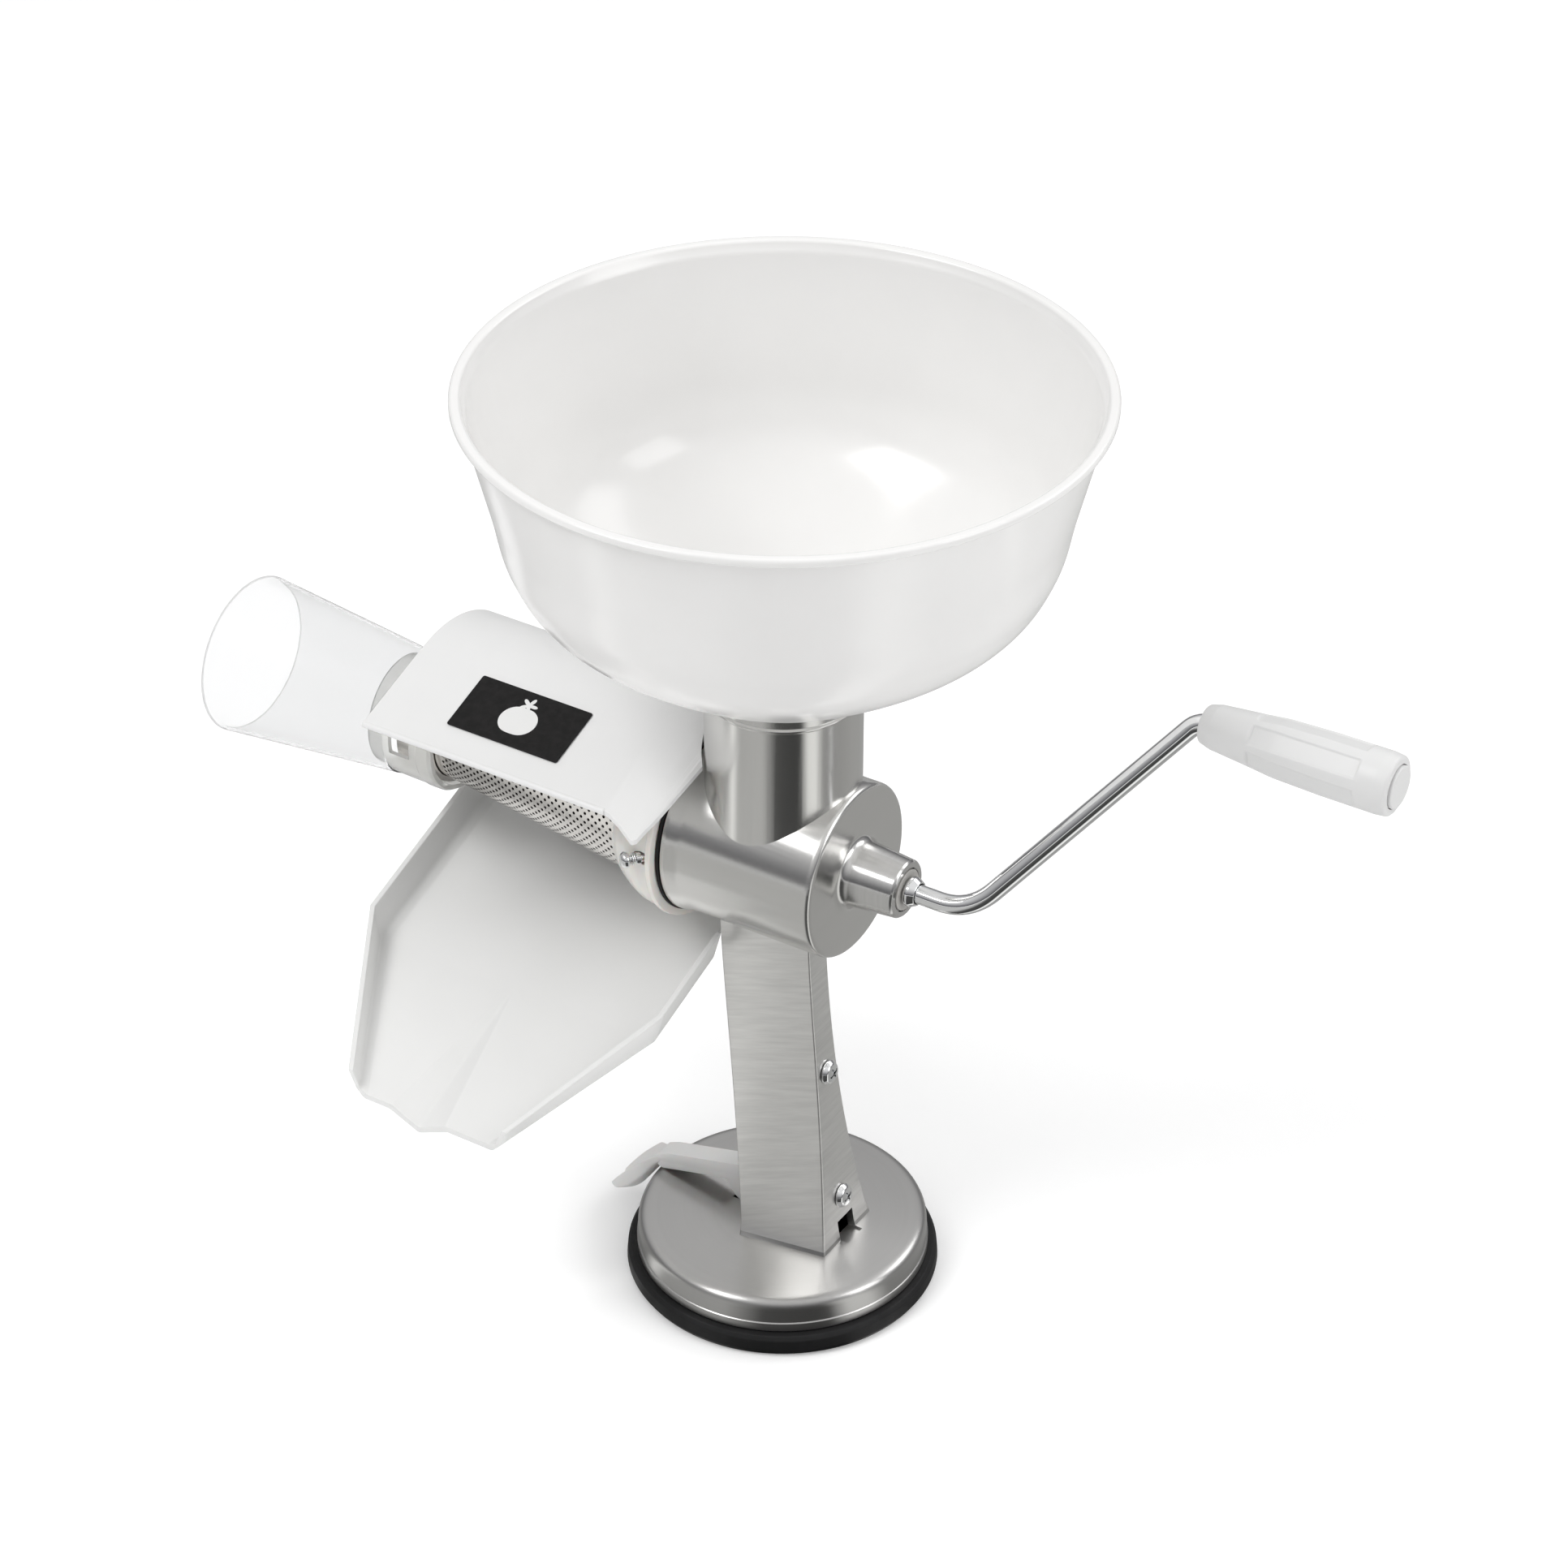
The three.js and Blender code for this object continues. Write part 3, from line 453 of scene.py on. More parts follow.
def make_materials():
    barrel = satin_metal("barrel_metal", (0.7, 0.695, 0.68), 0.25, 260, (0.04, 1, 1), (1, 0, 0), 0.015, 0)
    neck = satin_metal("neck_metal", (0.7, 0.695, 0.68), 0.2, 260, (1, 1, 0.04), (0, 0, 1), 0.015, 0)
    post = satin_metal("post_metal", (0.8, 0.795, 0.78), 0.36, 560, (0.08, 0.08, 1), None, 0.07,
                       0.005, lean=20)
    cap = satin_metal("cap_metal", (0.7, 0.695, 0.68), 0.24, 200, (1, 0.04, 1), None, 0.01, 0)
    boss = Paint("boss_metal", (0.66, 0.655, 0.645), 0.2, 1.0)
    turned = boss.spin((0, 0, AXIS_Z), "X", 900)
    boss.vary_color(turned, 0.97, 1.02)
    boss.vary_roughness(boss.noise(30, detail=1), 0.015)
    boss.draw_out((1, 0, 0), 0.6)
    disc = Paint("disc_metal", (0.5, 0.495, 0.487), 0.29, 1.0)
    spun = disc.spin((0, 0, 0), "Z", 700)
    disc.vary_color(spun, 0.985, 1.01)
    disc.vary_roughness(disc.noise(18, detail=1), 0.012)
    disc.draw_out("radial", 0.7)
    inside = satin_metal("raw_casting", (0.42, 0.42, 0.42), 0.55, 90, (1, 1, 1))
    steel = satin_metal("stainless", (0.68, 0.67, 0.64), 0.26, 500, (0.1, 1, 1))
    screen = satin_metal("screen_steel", (0.78, 0.76, 0.735), 0.24, 500, (0.1, 1, 1))
    # Painted shade: a dark copy of the screen steel for the cone's inside, hole walls and end rims, which get
    # little light.
    shadowed_steel = satin_metal("screen_painted_shade", (0.16, 0.15, 0.145), 0.5, 90, (1, 1, 1))
    chrome = Paint("chrome", (0.86, 0.865, 0.87), 0.045, 1.0)
    chrome.vary_roughness(chrome.noise(60, detail=3), 0.02)
    rubber = Paint("rubber", (0.008, 0.008, 0.0085), 0.6, Specular_IOR_Level=0.3)
    rubber.vary_color(rubber.noise(60, detail=4), 0.8, 1.3)
    rubber.vary_roughness(rubber.noise(90, detail=4), 0.1)
    rubber.bump(rubber.noise(900, detail=3), 0.02)
    hopper = moulded("hopper_gloss", (0.83, 0.825, 0.815), 0.2, grain=500, depth=0.0012,
                     Coat_Weight=0.2, Coat_Roughness=0.12)
    shield = moulded("shield_satin", (0.8, 0.8, 0.795), 0.42, depth=0.003)
    chute = moulded("chute_gloss", (0.8, 0.8, 0.79), 0.22, depth=0.002, Coat_Weight=0.2,
                    Coat_Roughness=0.12)
    grip = moulded("grip_matte", (0.71, 0.71, 0.706), 0.42, depth=0.006)
    nylon = moulded("milky_nylon", (0.86, 0.86, 0.85), 0.42, depth=0.002,
                    Subsurface_Weight=0.12, Subsurface_Scale=0.003)
    spiral = moulded("spiral_white", (0.7, 0.7, 0.68), 0.35)
    collar = moulded("collar_cream", (0.78, 0.77, 0.73), 0.16, depth=0.001,
                     Subsurface_Weight=0.3, Subsurface_Scale=0.004)
    bushing = moulded("bushing_grey", (0.4, 0.39, 0.37), 0.3)
    clear = Paint("clear_plastic", (0.885, 0.887, 0.888), 0.05, Transmission_Weight=0.95, IOR=1.07)
    clear.vary_roughness(clear.noise(30, detail=3), 0.02)
    cone_edge = Paint("cone_edge", (0.88, 0.88, 0.88), 0.3, Transmission_Weight=0.5, IOR=1.07)
    cone_edge.vary_roughness(cone_edge.noise(30, detail=3), 0.02)
    clouded = moulded("clouded_plastic", (0.9, 0.9, 0.88), 0.12, depth=0.001,
                      Transmission_Weight=0.6, IOR=1.3)
    label = Paint("label_film", (0.006, 0.0055, 0.0055), 0.5, Specular_IOR_Level=0.2)
    label.vary_color(label.noise(350, detail=4), 0.7, 1.6)
    label.bump(label.noise(1500, detail=2), 0.004)
    emblem = moulded("emblem_white", (0.8, 0.8, 0.79), 0.4)
    found = dict(locals())  # each material goes by the name it has here
    return {k: v.material for k, v in found.items() if isinstance(v, Paint)}


# ------------------------------------------------------------------ the casting

def post_right(z):
    return 15.8 + 14.2 * (max(0, 165 - z) / 138) ** 1.4


def post_half(z):
    return 6.4 + 10.3 * (max(0, 150 - z) / 123) ** 2.5


def post_draft(z):
    """How much deeper, and narrower, the post is at its open side than at its crank side."""
    return 5 * (max(0, 150 - z) / 123) ** 2.5


def post_tilt(z):
    return math.atan((post_right(z - 1) - post_right(z + 1)) / 2)


def levels(low, high, count):
    return [low + (high - low) * i / count for i in range(count + 1)]


def post_shape(name, heights, reach, corner=0.0):
    """A tapering bar; reach(z) gives its x limits, half depth and draft, corner its edge radius."""
    rings = []
    for z in heights:
        x0, x1, y, draft = reach(z)
        ring = []
        if corner:
            for cx, cy, start in ((x0, -y - draft, 180), (x1, -y, 270), (x1, y, 0), (x0, y + draft, 90)):
                ox = cx + (corner if cx == x0 else -corner)
                oy = cy + (corner if cy < 0 else -corner)
                for i in range(5):
                    a = math.radians(start + 22.5 * i)
                    ring.append((ox + corner * math.cos(a), oy + corner * math.sin(a), z))
        else:
            ring = [(x0, -y - draft, z), (x1, -y, z), (x1, y, z), (x0, y + draft, z)]
        rings.append(ring)
    return skin(name, rings)


def casting_finish(place, _):
    """Which of the casting's finishes a face gets, by where it is."""
    x, y, z = place
    if z < 26:
        return DISC
    if z < 168 and abs(y) < 30:
        return POST
    if x > BARREL_CAP_X + 1:
        return BOSS
    if x > BARREL_CAP_X - 2.4:
        return CAP
    if z > AXIS_Z + 20 and math.hypot(x, y) < 30.6:
        return NECK if math.hypot(x, y) > 28 else INSIDE
    if math.hypot(y, z - AXIS_Z) < 30.1 and x < BARREL_CAP_X - 3:
        return INSIDE
    return BARREL


def build_casting(m):
    neck = lathe("body", rounded([
        (0, 196), (30, 196), (30, 272.6), (30.4, 273.2, 0.2), (30.4, 273.8, 0.2), (29.4, 274.3, 0.2),
        (29.2, 277.4), (28.6, NECK_TOP), (0, NECK_TOP)], 0.4))
    barrel = lathe("barrel", rounded([
        (0, BARREL_OPEN_X), (36.1, BARREL_OPEN_X, 0.3), (36.1, -31.2, 2), (35, -26.4, 8),
        (35, BARREL_CAP_X, 2.6), (13.4, BARREL_CAP_X, 4.4), (11.6, 54), (10.9, BOSS_END_X), (0, BOSS_END_X)],
        0.5, steps=6), "X")

    def reach(z):
        flare = 1.3 * (max(0, 31 - z) / 7) ** 2 if z >= 24 else 0
        draft = post_draft(z)
        return (post_right(z) - POST_WIDTH + draft, post_right(z) + flare * 0.3,
                post_half(z) + flare * 0.3, draft + flare)

    post = post_shape("post", [18, 24, *levels(24.3, 31, 12), *levels(34, 176, 36)], reach, 0.9)
    cover = lathe("cover", rounded([
        (0, PAD_TOP + 0.3), (58.7, PAD_TOP + 0.3), (59, 9.8), (59, 13.2, 0.3), (58.5, 13.6, 0.3),
        (58.4, 23.6, 4.6), (30, 24.4), (0, 24.8)], 0.4, steps=8))
    underside = lathe("u", [(0, 5), (55, 5), (55, 18.8), (53, 19.8), (0, 20.8)], segments=96)
    bore = lathe("b", [(0, -40), (30, -40), (30, 27), (0, 27)], "X")
    neck_bore = lathe("n", [(0, 205), (27.2, 205), (27.2, 285), (0, 285)])
    boss_bore = lathe("bb", [(0, 20), (7.4, 20), (7.4, 53.2), (8.8, 53.2), (8.8, 60), (0, 60)], "X", 64)
    channel = post_shape("c", levels(24.9, CHANNEL_TOP, 24), lambda z: (
        post_right(z) - POST_WIDTH - 8, post_right(z) - POST_WALL, post_half(z) - 3, post_draft(z)))
    throat = post_shape("t", [10, 30], lambda z: (-10.8, post_right(z) - POST_WALL, 11, 0))
    slot = block("s", -20.6, -5, -5.1, 5.1, 15, 27)
    notch = block("k", 22, 34, -5, 6, 23.4, 33)
    holes = []
    for z in (102, 43):
        hole = lathe("h", [(0, -8), (2.7, -8), (2.7, 8), (0, 8)], "X", 32, centre_z=0)
        holes.append(move(hole, about(Matrix.Rotation(-post_tilt(z), 3, "Y"), (post_right(z), 0, z))))
    body = combine(neck, "UNION", barrel, post, cover)
    body = combine(body, "DIFFERENCE", underside, bore, neck_bore, boss_bore, channel, throat, slot,
                   notch, *holes)
    body.name = "casting"
    return dress(body, "base", "cast_aluminium",
                 [m["barrel"], m["neck"], m["post"], m["disc"], m["boss"], m["inside"], m["cap"]],
                 "body_casting", angle=28, pick=casting_finish)


def build_base(m):
    pad = lathe("pad", rounded([
        (0, 0), (61.5, 0, 1), (63.1, 2.6, 1), (62.7, 7.2, 1), (61.4, PAD_TOP, 0.8), (13, PAD_TOP, 0.5),
        (13, 19.6), (4.6, 19.6), (4.6, 18.2), (9, 18.2), (9, 8.6), (0, 8.6)], 0.3))
    dress(pad, "base", "black_rubber", m["rubber"], "suction_pad")

    bushing = lathe("bushing", rounded(
        [(4.2, 54.6), (4.2, 27.4), (7, 27.4), (7, 53.6), (8.2, 53.7), (8.2, 55.3), (4.2, 55.3),
         (4.2, 54.6)], 0.25), "X", 64)
    dress(bushing, "base", "bushing_plastic", m["bushing"], "crank_bushing")

    gasket = lathe("gasket", rounded(
        [(34, -34.7), (36.6, -34.7), (36.6, -33.3), (31, -33.3), (31, -34.7), (34, -34.7)], 0.4), "X")
    dress(gasket, "base", "black_rubber", m["rubber"], "barrel_gasket")

    for name, z in (("bracket_screw_upper", 102), ("bracket_screw_lower", 43)):
        screw = lathe(name + "_head", rounded([
            (0, -7.3), (2.4, -7), (2.4, 0.35), (4.9, 0.35, 0.2), (5, 1.1, 0.5), (3.9, 2.7, 1.6),
            (1.8, 3.3, 2), (0, 3.4)], 0.2, steps=5), "X", 48, centre_z=0)
        arms = [bevel(block("arm", 1.5, 5, -w, w, -h, h), 0.12, 2) for w, h in ((0.5, 2.6), (2.6, 0.5))]
        combine(screw, "DIFFERENCE", *arms)
        turn = Matrix.Rotation(-post_tilt(z), 3, "Y") @ Matrix.Rotation(0.35, 3, "X")
        move(screw, about(turn, (post_right(z), 0, z)))
        dress(screw, "base", "stainless_steel", m["chrome"], name)
    for node in ("lever_bracket", "pull_stud", "lever_drive_pin"):
        paint_node(node, m["steel"])


def paint_node(node, material):
    """Gives a CAD node that stays its finished material."""
    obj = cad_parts[node]
    obj.data.materials.clear()
    obj.data.materials.append(material)


# ------------------------------------------------------------------- the lever

def build_lever(m):
    def arc(r, low, high, count):
        return [(PIVOT[0] + r * math.cos(a), PIVOT[2] + r * math.sin(a)) for a in levels(low, high, count)]

    outline = rounded([
        (-40, 28.1), (-55.6, 24, 2), (-60.3, 26.5, 2), (-57.5, 30.4, 2), (-52.5, 32.6, 6), (-19.4, 41.2, 4),
        *reversed(arc(9, -0.2, 1.35, 14)), *reversed(arc(20, 3.56, 5.5, 30)), (-40, 28.1)], 0.05)[:-1]
    lever = bevel(extrude_section("thumb_lever", outline, -LEVER_HALF, LEVER_HALF, "Y"), 0.6, 3, 50)
    cross = Matrix.Rotation(math.pi / 2, 3, "Z")
    pin = move(lathe("p", rounded([(0, -8.5), (3, -8.5), (3, 8.5), (0, 8.5)], 0.4), "X", 40, centre_z=0),
               about(cross, PIVOT))
    rings = []
    for t in levels(0, 1, 24):
        x, z = -56 - 23 * t, 28.5 - 23.3 * t ** 1.15
        widen, narrow = min(1, t / 0.35), max(0, (t - 0.6) / 0.4)
        half = (4.6 + 4.4 * widen * widen * (3 - 2 * widen)) * math.sqrt(1 - 0.6 * narrow ** 2)
        lip = 2 * min(1, t / 0.25) * (1 - 0.5 * narrow ** 2)
        belly = -2 - 3.6 * math.sin(math.pi * max(0, t - 0.15) / 0.85)
        edge = rounded([
            (0, 1), (half * 0.6, 1, 2), (half, lip + 1.2, 0.9), (half, belly * 0.5, 1.5),
            (half * 0.6, belly, 2), (-half * 0.6, belly, 2), (-half, belly * 0.5, 1.5),
            (-half, lip + 1.2, 0.9), (-half * 0.6, 1, 2), (0, 1)], 0.6, steps=4)[:-1]
        rings.append([(x - up * 0.65, y, z + up * 0.76) for y, up in edge])
    paddle = skin("paddle", rings)
    groove = block("g", -18.5, 16, -2.3, 2.3, 15, 60)
    hole = move(lathe("h", [(0, -8), (1.9, -8), (1.9, 8), (0, 8)], "X", 32, centre_z=0),
                about(cross, (0, 0, 40)))
    combine(lever, "UNION", pin, paddle)
    combine(lever, "DIFFERENCE", groove, hole)
    dress(lever, "lever", "translucent_nylon", m["nylon"], "suction_lever", angle=40)


# ------------------------------------------------------------------ the hopper

def smooth_line(points, count):
    """A Catmull-Rom line through the points."""
    out = []
    last = len(points) - 1
    for i in range(count + 1):
        at = last * i / count
        k = min(int(at), last - 1)
        t = at - k
        p = [Vector(points[max(0, min(last, k + d))]) for d in (-1, 0, 1, 2)]
        v0, v1 = (p[2] - p[0]) * 0.5, (p[3] - p[1]) * 0.5
        out.append(p[1] * (2 * t ** 3 - 3 * t ** 2 + 1) + p[2] * (3 * t ** 2 - 2 * t ** 3)
                   + v0 * (t ** 3 - 2 * t ** 2 + t) + v1 * (t ** 3 - t ** 2))
    return out


def build_hopper(m):
    line = smooth_line([(31, 278.7), (63.6, 299.8), (91, 320.6), (102, 338), (107.2, 360),
                        (116.2, 396.6)], 72)
    inner = []
    for i, p in enumerate(line):
        along = (line[min(i + 1, len(line) - 1)] - line[max(i - 1, 0)]).normalized()
        inner.append((p.x - along.y * HOPPER_WALL, p.y + along.x * HOPPER_WALL))
    r, top = HOPPER_R, HOPPER_TOP
    rim = rounded([(r - 3.7, 396.6), (r - 2, 397.4, 1), (r, 397.9, 1.2), (r, top, 1.6), (r - 4, top, 1.8),
                   (r - 5.4, 397.6)], 1, steps=8)
    outer = [(26.7, 240), (26.7, NECK_TOP + 0.3), (30.2, NECK_TOP + 0.35),
             *[tuple(p) for p in line], *rim]
    tube_inner = [(24.7, 240), (24.7, 277.4), (25.6, 279.6), (28.5, 281.1)]
    profile = ring_profile(rounded(outer[:4], 0.5) + outer[4:], tube_inner + inner)
    bowl = lathe("hopper_bowl", profile, segments=192)
    dress(bowl, "hopper", "hopper_plastic", m["hopper"], "hopper", angle=40)


# ------------------------------------------------------------------- the crank

def crank_point(x, s):
    return (x, s * math.cos(CRANK_ANGLE), AXIS_Z + s * math.sin(CRANK_ANGLE))


def crank_path():
    arm = Vector((GRIP_BEND_X - CRANK_BEND_X, CRANK_THROW)).normalized()
    corners = [((CRANK_BEND_X, 0), (1, 0), arm, 13), ((GRIP_BEND_X, CRANK_THROW), arm, (1, 0), 5)]
    line = [(x, 0) for x in levels(6.2, CRANK_BEND_X - 14, 8)]
    for corner, arriving, leaving, reach in corners:
        p = Vector(corner)
        start, end = p - Vector(arriving) * reach, p + Vector(leaving) * reach
        for t in levels(0, 1, 14):
            line.append(tuple((1 - t) ** 2 * start + 2 * t * (1 - t) * p + t ** 2 * end))
        if corner[1] == 0:
            stop = Vector((GRIP_BEND_X, CRANK_THROW)) - arm * 6
            line += [tuple(end.lerp(stop, t)) for t in levels(0.08, 0.98, 12)]
    line += [(x, CRANK_THROW) for x in levels(GRIP_BEND_X + 6, GRIP_END_X - 6.2, 8)]
    return [crank_point(x, s) for x, s in line]


def build_crank(m):
    rod = tube("crank_bar", crank_path(), ROD_R - 0.02, 40)
    dress(rod, "crank", "chrome", m["chrome"], "crank_rod", angle=50)
    collar = lathe("crank_washer", rounded(
        [(4.15, 57), (4.15, 55.8), (5.4, 55.8), (6, 56.8), (6, 58, 0.8), (4.7, 60.4), (4.15, 60.4),
         (4.15, 57)], 0.3), "X", 64)
    dress(collar, "crank", "chrome", m["chrome"], "crank_collar")

    length = GRIP_END_X - GRIP_START_X
    outer = rounded([
        (4.7, 0), (7.2, 0, 2.2), (8.6, 5, 4), (10, 20, 20), (11.2, 31, 20), (11.8, 50, 20),
        (11.9, length - 5, 6), (11.4, length - 0.2, 2.2), (8.6, length)], 0.5, steps=8)
    panel_from, panel_to = 21, 65
    stations = []
    for (r0, x0), (r1, x1) in zip(outer, outer[1:]):
        count = max(1, int(abs(x1 - x0) / 0.5))
        stations += [(r0 + (r1 - r0) * i / count, x0 + (x1 - x0) * i / count) for i in range(count)]
    stations.append(outer[-1])
    stations += [(8.6, length - 4), (4.2, length - 4), (4.2, 40), (4.25, 3), (4.7, 0)]
    centre = crank_point(GRIP_START_X, CRANK_THROW)
    columns = 216
    rings = []
    for r, x in stations:
        ring = []
        for j in range(columns):
            a = 2 * math.pi * j / columns
            near = (a + math.pi / 6 - 0.3) % (math.pi / 3) - math.pi / 6
            radius = r
            if r > 8.7:
                side = 4.1 - abs(r * math.sin(near))
                end = min(x - panel_from, panel_to - x)
                depth = max(0, min(1, side / 0.5, end / 0.5))
                over = r * math.cos(near) - (r * math.cos(4.1 / r) - 0.35)
                flat = r - over / max(0.5, math.cos(near))
                radius = r + (min(flat, r) - r) * depth ** 1.5
            ring.append((centre[0] + x, centre[1] + radius * math.cos(a),
                         centre[2] + radius * math.sin(a)))
        rings.append(ring)
    grip = skin("grip", rings, caps=False)
    dress(grip, "grip", "grip_plastic", m["grip"], "crank_grip", angle=45)
    plug = move(lathe("grip_cap", rounded([(0, 74.9), (8.2, 74.9), (8.2, 78.4, 0.7), (0, 78.4)], 0.3, 5),
                      "X", 64, centre_z=0), Matrix.Translation(Vector(centre) * MM))
    dress(plug, "grip", "grip_plastic", m["grip"], "grip_end_plug")


def build_spiral(m):
    core = lathe("feed_spiral", [
        (0, 4), (4.2, 4), (4.2, 24), (8.8, 24), (8.8, 14), (10.5, 8), (9.5, -60), (7, -140), (5.5, -151),
        (0, -151)], "X", 64)
    turns, pitch, steps = 5.5, 30, 330
    rings = []
    for t in levels(0, 1, steps):
        x, turn = 12 - pitch * turns * t, 2 * math.pi * turns * t
        reach = min(28.3, 27.9 + (x + 40) * 0.098)
        section = rounded([(x, 5), (x + 2.4, 5), (x + 1.1, reach), (x - 1.1, reach), (x - 2.4, 5), (x, 5)],
                          0.6, 3)[:-1]
        rings.append([(u, r * math.cos(turn), AXIS_Z + r * math.sin(turn)) for u, r in section])
    combine(core, "UNION", skin("flight", rings))
    dress(core, "crank", "spiral_nylon", m["spiral"], "spiral", angle=40)
    spring = tube("feed_spring", coil_points(15.6, 25.2, 11.6, 3, 120), 0.78, 12)
    move(spring, Matrix.Translation((0, 0, AXIS_Z * MM)))
    dress(spring, "crank", "stainless_steel", m["steel"], "spiral_spring", angle=60)


# ------------------------------------------------------------------ the screen

def screen_radius(x):
    return max(19.1, 30 + (min(x, -55) + 55) * (30 - 19.5) / 93)


def build_screen(m):
    """The cone: staggered rows of round holes through a sheet 0.8 mm thick, with plain ends."""
    around, rows, wall, hole_r = 44, 48, 0.8, 0.68
    bm = bmesh.new()
    cache = {}

    def vertex(x, turn, layer):
        key = (round(x, 4), round(turn * 4096) % (4096 * around), layer)
        if key not in cache:
            r = screen_radius(x) - wall * layer
            a = 2 * math.pi * turn / around
            cache[key] = bm.verts.new((x, r * math.cos(a), AXIS_Z + r * math.sin(a)))
        return cache[key]

    pitch = (HOLES_FROM_X - HOLES_TO_X) / rows
    for row in range(rows):
        x0 = HOLES_FROM_X - pitch * (row + 1)
        cx = x0 + pitch / 2
        radius = screen_radius(cx)
        for column in range(around):
            shift = column + (0.5 if row % 2 else 0)
            border = [(x0, 0), (x0, 0.5), (x0, 1), (cx, 1), (x0 + pitch, 1), (x0 + pitch, 0.5),
                      (x0 + pitch, 0), (cx, 0)]
            hole = []
            for k in range(8):
                a = math.radians(-135 + 45 * k)
                hole.append((cx + hole_r * math.sin(a), 0.5 + hole_r * math.cos(a) * around
                             / (2 * math.pi * radius)))
            ordered = sorted(hole, key=lambda p: math.atan2((p[1] - 0.5) * radius, p[0] - cx))
            edge = sorted(border, key=lambda p: math.atan2((p[1] - 0.5) * radius * 0.12, p[0] - cx))
            for k in range(8):
                n = (k + 1) % 8
                for layer in (0, 1):
                    bm.faces.new([vertex(*(edge[k][0], shift + edge[k][1]), layer),
                                  vertex(*(edge[n][0], shift + edge[n][1]), layer),
                                  vertex(*(ordered[n][0], shift + ordered[n][1]), layer),
                                  vertex(*(ordered[k][0], shift + ordered[k][1]), layer)])
                bm.faces.new([vertex(ordered[k][0], shift + ordered[k][1], 0),
                              vertex(ordered[n][0], shift + ordered[n][1], 0),
                              vertex(ordered[n][0], shift + ordered[n][1], 1),
                              vertex(ordered[k][0], shift + ordered[k][1], 1)])
    for stations in ([SCREEN_BIG_X, -46, -55, HOLES_FROM_X], [HOLES_TO_X, -151, SCREEN_SMALL_X]):
        for a, b in zip(stations, stations[1:]):
            for half in range(2 * around):
                turns = (half / 2, half / 2 + 0.5)
                for layer in (0, 1):
                    bm.faces.new([vertex(a, turns[0], layer), vertex(a, turns[1], layer),
                                  vertex(b, turns[1], layer), vertex(b, turns[0], layer)])
        end = stations[0] if stations[0] == SCREEN_BIG_X else stations[-1]
        for half in range(2 * around):
            bm.faces.new([vertex(end, half / 2, 0), vertex(end, half / 2 + 0.5, 0),
                          vertex(end, half / 2 + 0.5, 1), vertex(end, half / 2, 1)])
    screen = to_object("screen", bm)

    # Faces that don't look outward (the inside, the hole walls and the end rims) get the painted-shade copy
    # of the steel; outward faces keep the plain steel.
    def side(place, normal):
        away = normal.y * place.y + normal.z * (place.z - AXIS_Z)
        return 0 if away > 0.6 * math.hypot(place.y, place.z - AXIS_Z) else 1

    dress(screen, "screen", "stainless_steel", [m["screen"], m["shadowed_steel"]], "screen_cone",
          angle=40, pick=side)

    ring = lathe("screen_band", rounded([
        (19.5, -160), (19.5, -167), (21.9, -167), (21.9, -150.5), (19.5, -150.5), (19.5, -160)], 0.4, 4),
        "X", 96)
    dress(ring, "screen", "stainless_steel", m["screen"], "screen_end_ring")


def build_collar(m):
    outer = rounded([
        (30.6, -57.5, 0.4), (31.4, -57.4, 0.6), (33.4, -54.5, 6), (36, -50, 8), (37.7, -46, 6),
        (38.2, -42.5, 4), (38.2, -37.8, 0.6), (39.8, -37.4, 0.6), (39.8, -35.2, 0.4), (38.6, -35)],
        0.4, 5)
    collar = lathe("screen_bell", ring_profile(outer, [(30.4, -57.2), (30.4, -36.4), (30.4, -35)]), "X")
    at = LOCK_SCREW
    turn = Matrix.Rotation(LOCK_SCREW_TURN, 3, "Z")
    hole = lathe("h", [(0, -4.2), (1.9, -4.2), (1.9, -1.8), (2.8, -1.8), (2.8, 8), (0, 8)], "X", 32,
                 centre_z=0)
    combine(collar, "DIFFERENCE", move(hole, about(turn, at)))
    dress(collar, "screen", "collar_plastic", m["collar"], "screen_collar", angle=38)

    lug = bevel(block("collar_tab", -43.3, -38.3, -6.9, 6.9, 38.7, 42.5), 0.7, 4)
    move(lug, about(Matrix.Rotation(1.08, 3, "X"), (0, 0, AXIS_Z)))
    dress(lug, "screen", "collar_plastic", m["collar"], "collar_lug")

    screw = lathe("thumb_screw", rounded([
        (0, -3.6), (1.6, -3.5), (1.6, 0.5), (2.4, 0.5), (2.4, 2.2), (1.5, 2.3), (1.5, 4.8), (2.5, 4.9),
        (3.3, 5.6, 0.6), (3.3, 6.9, 1.4), (2.4, 8.1, 1.4), (0, 8.6)], 0.15, 5), "X", 48, centre_z=0)
    dress(move(screw, about(turn, at)), "lock_screw", "chrome", m["chrome"], "lock_screw")
    spring = tube("thumb_spring", coil_points(2.85, 4.25, 2.3, 2, 72), 0.3, 10)
    dress(move(spring, about(turn, at)), "lock_screw", "chrome", m["chrome"], "lock_screw_spring", angle=60)


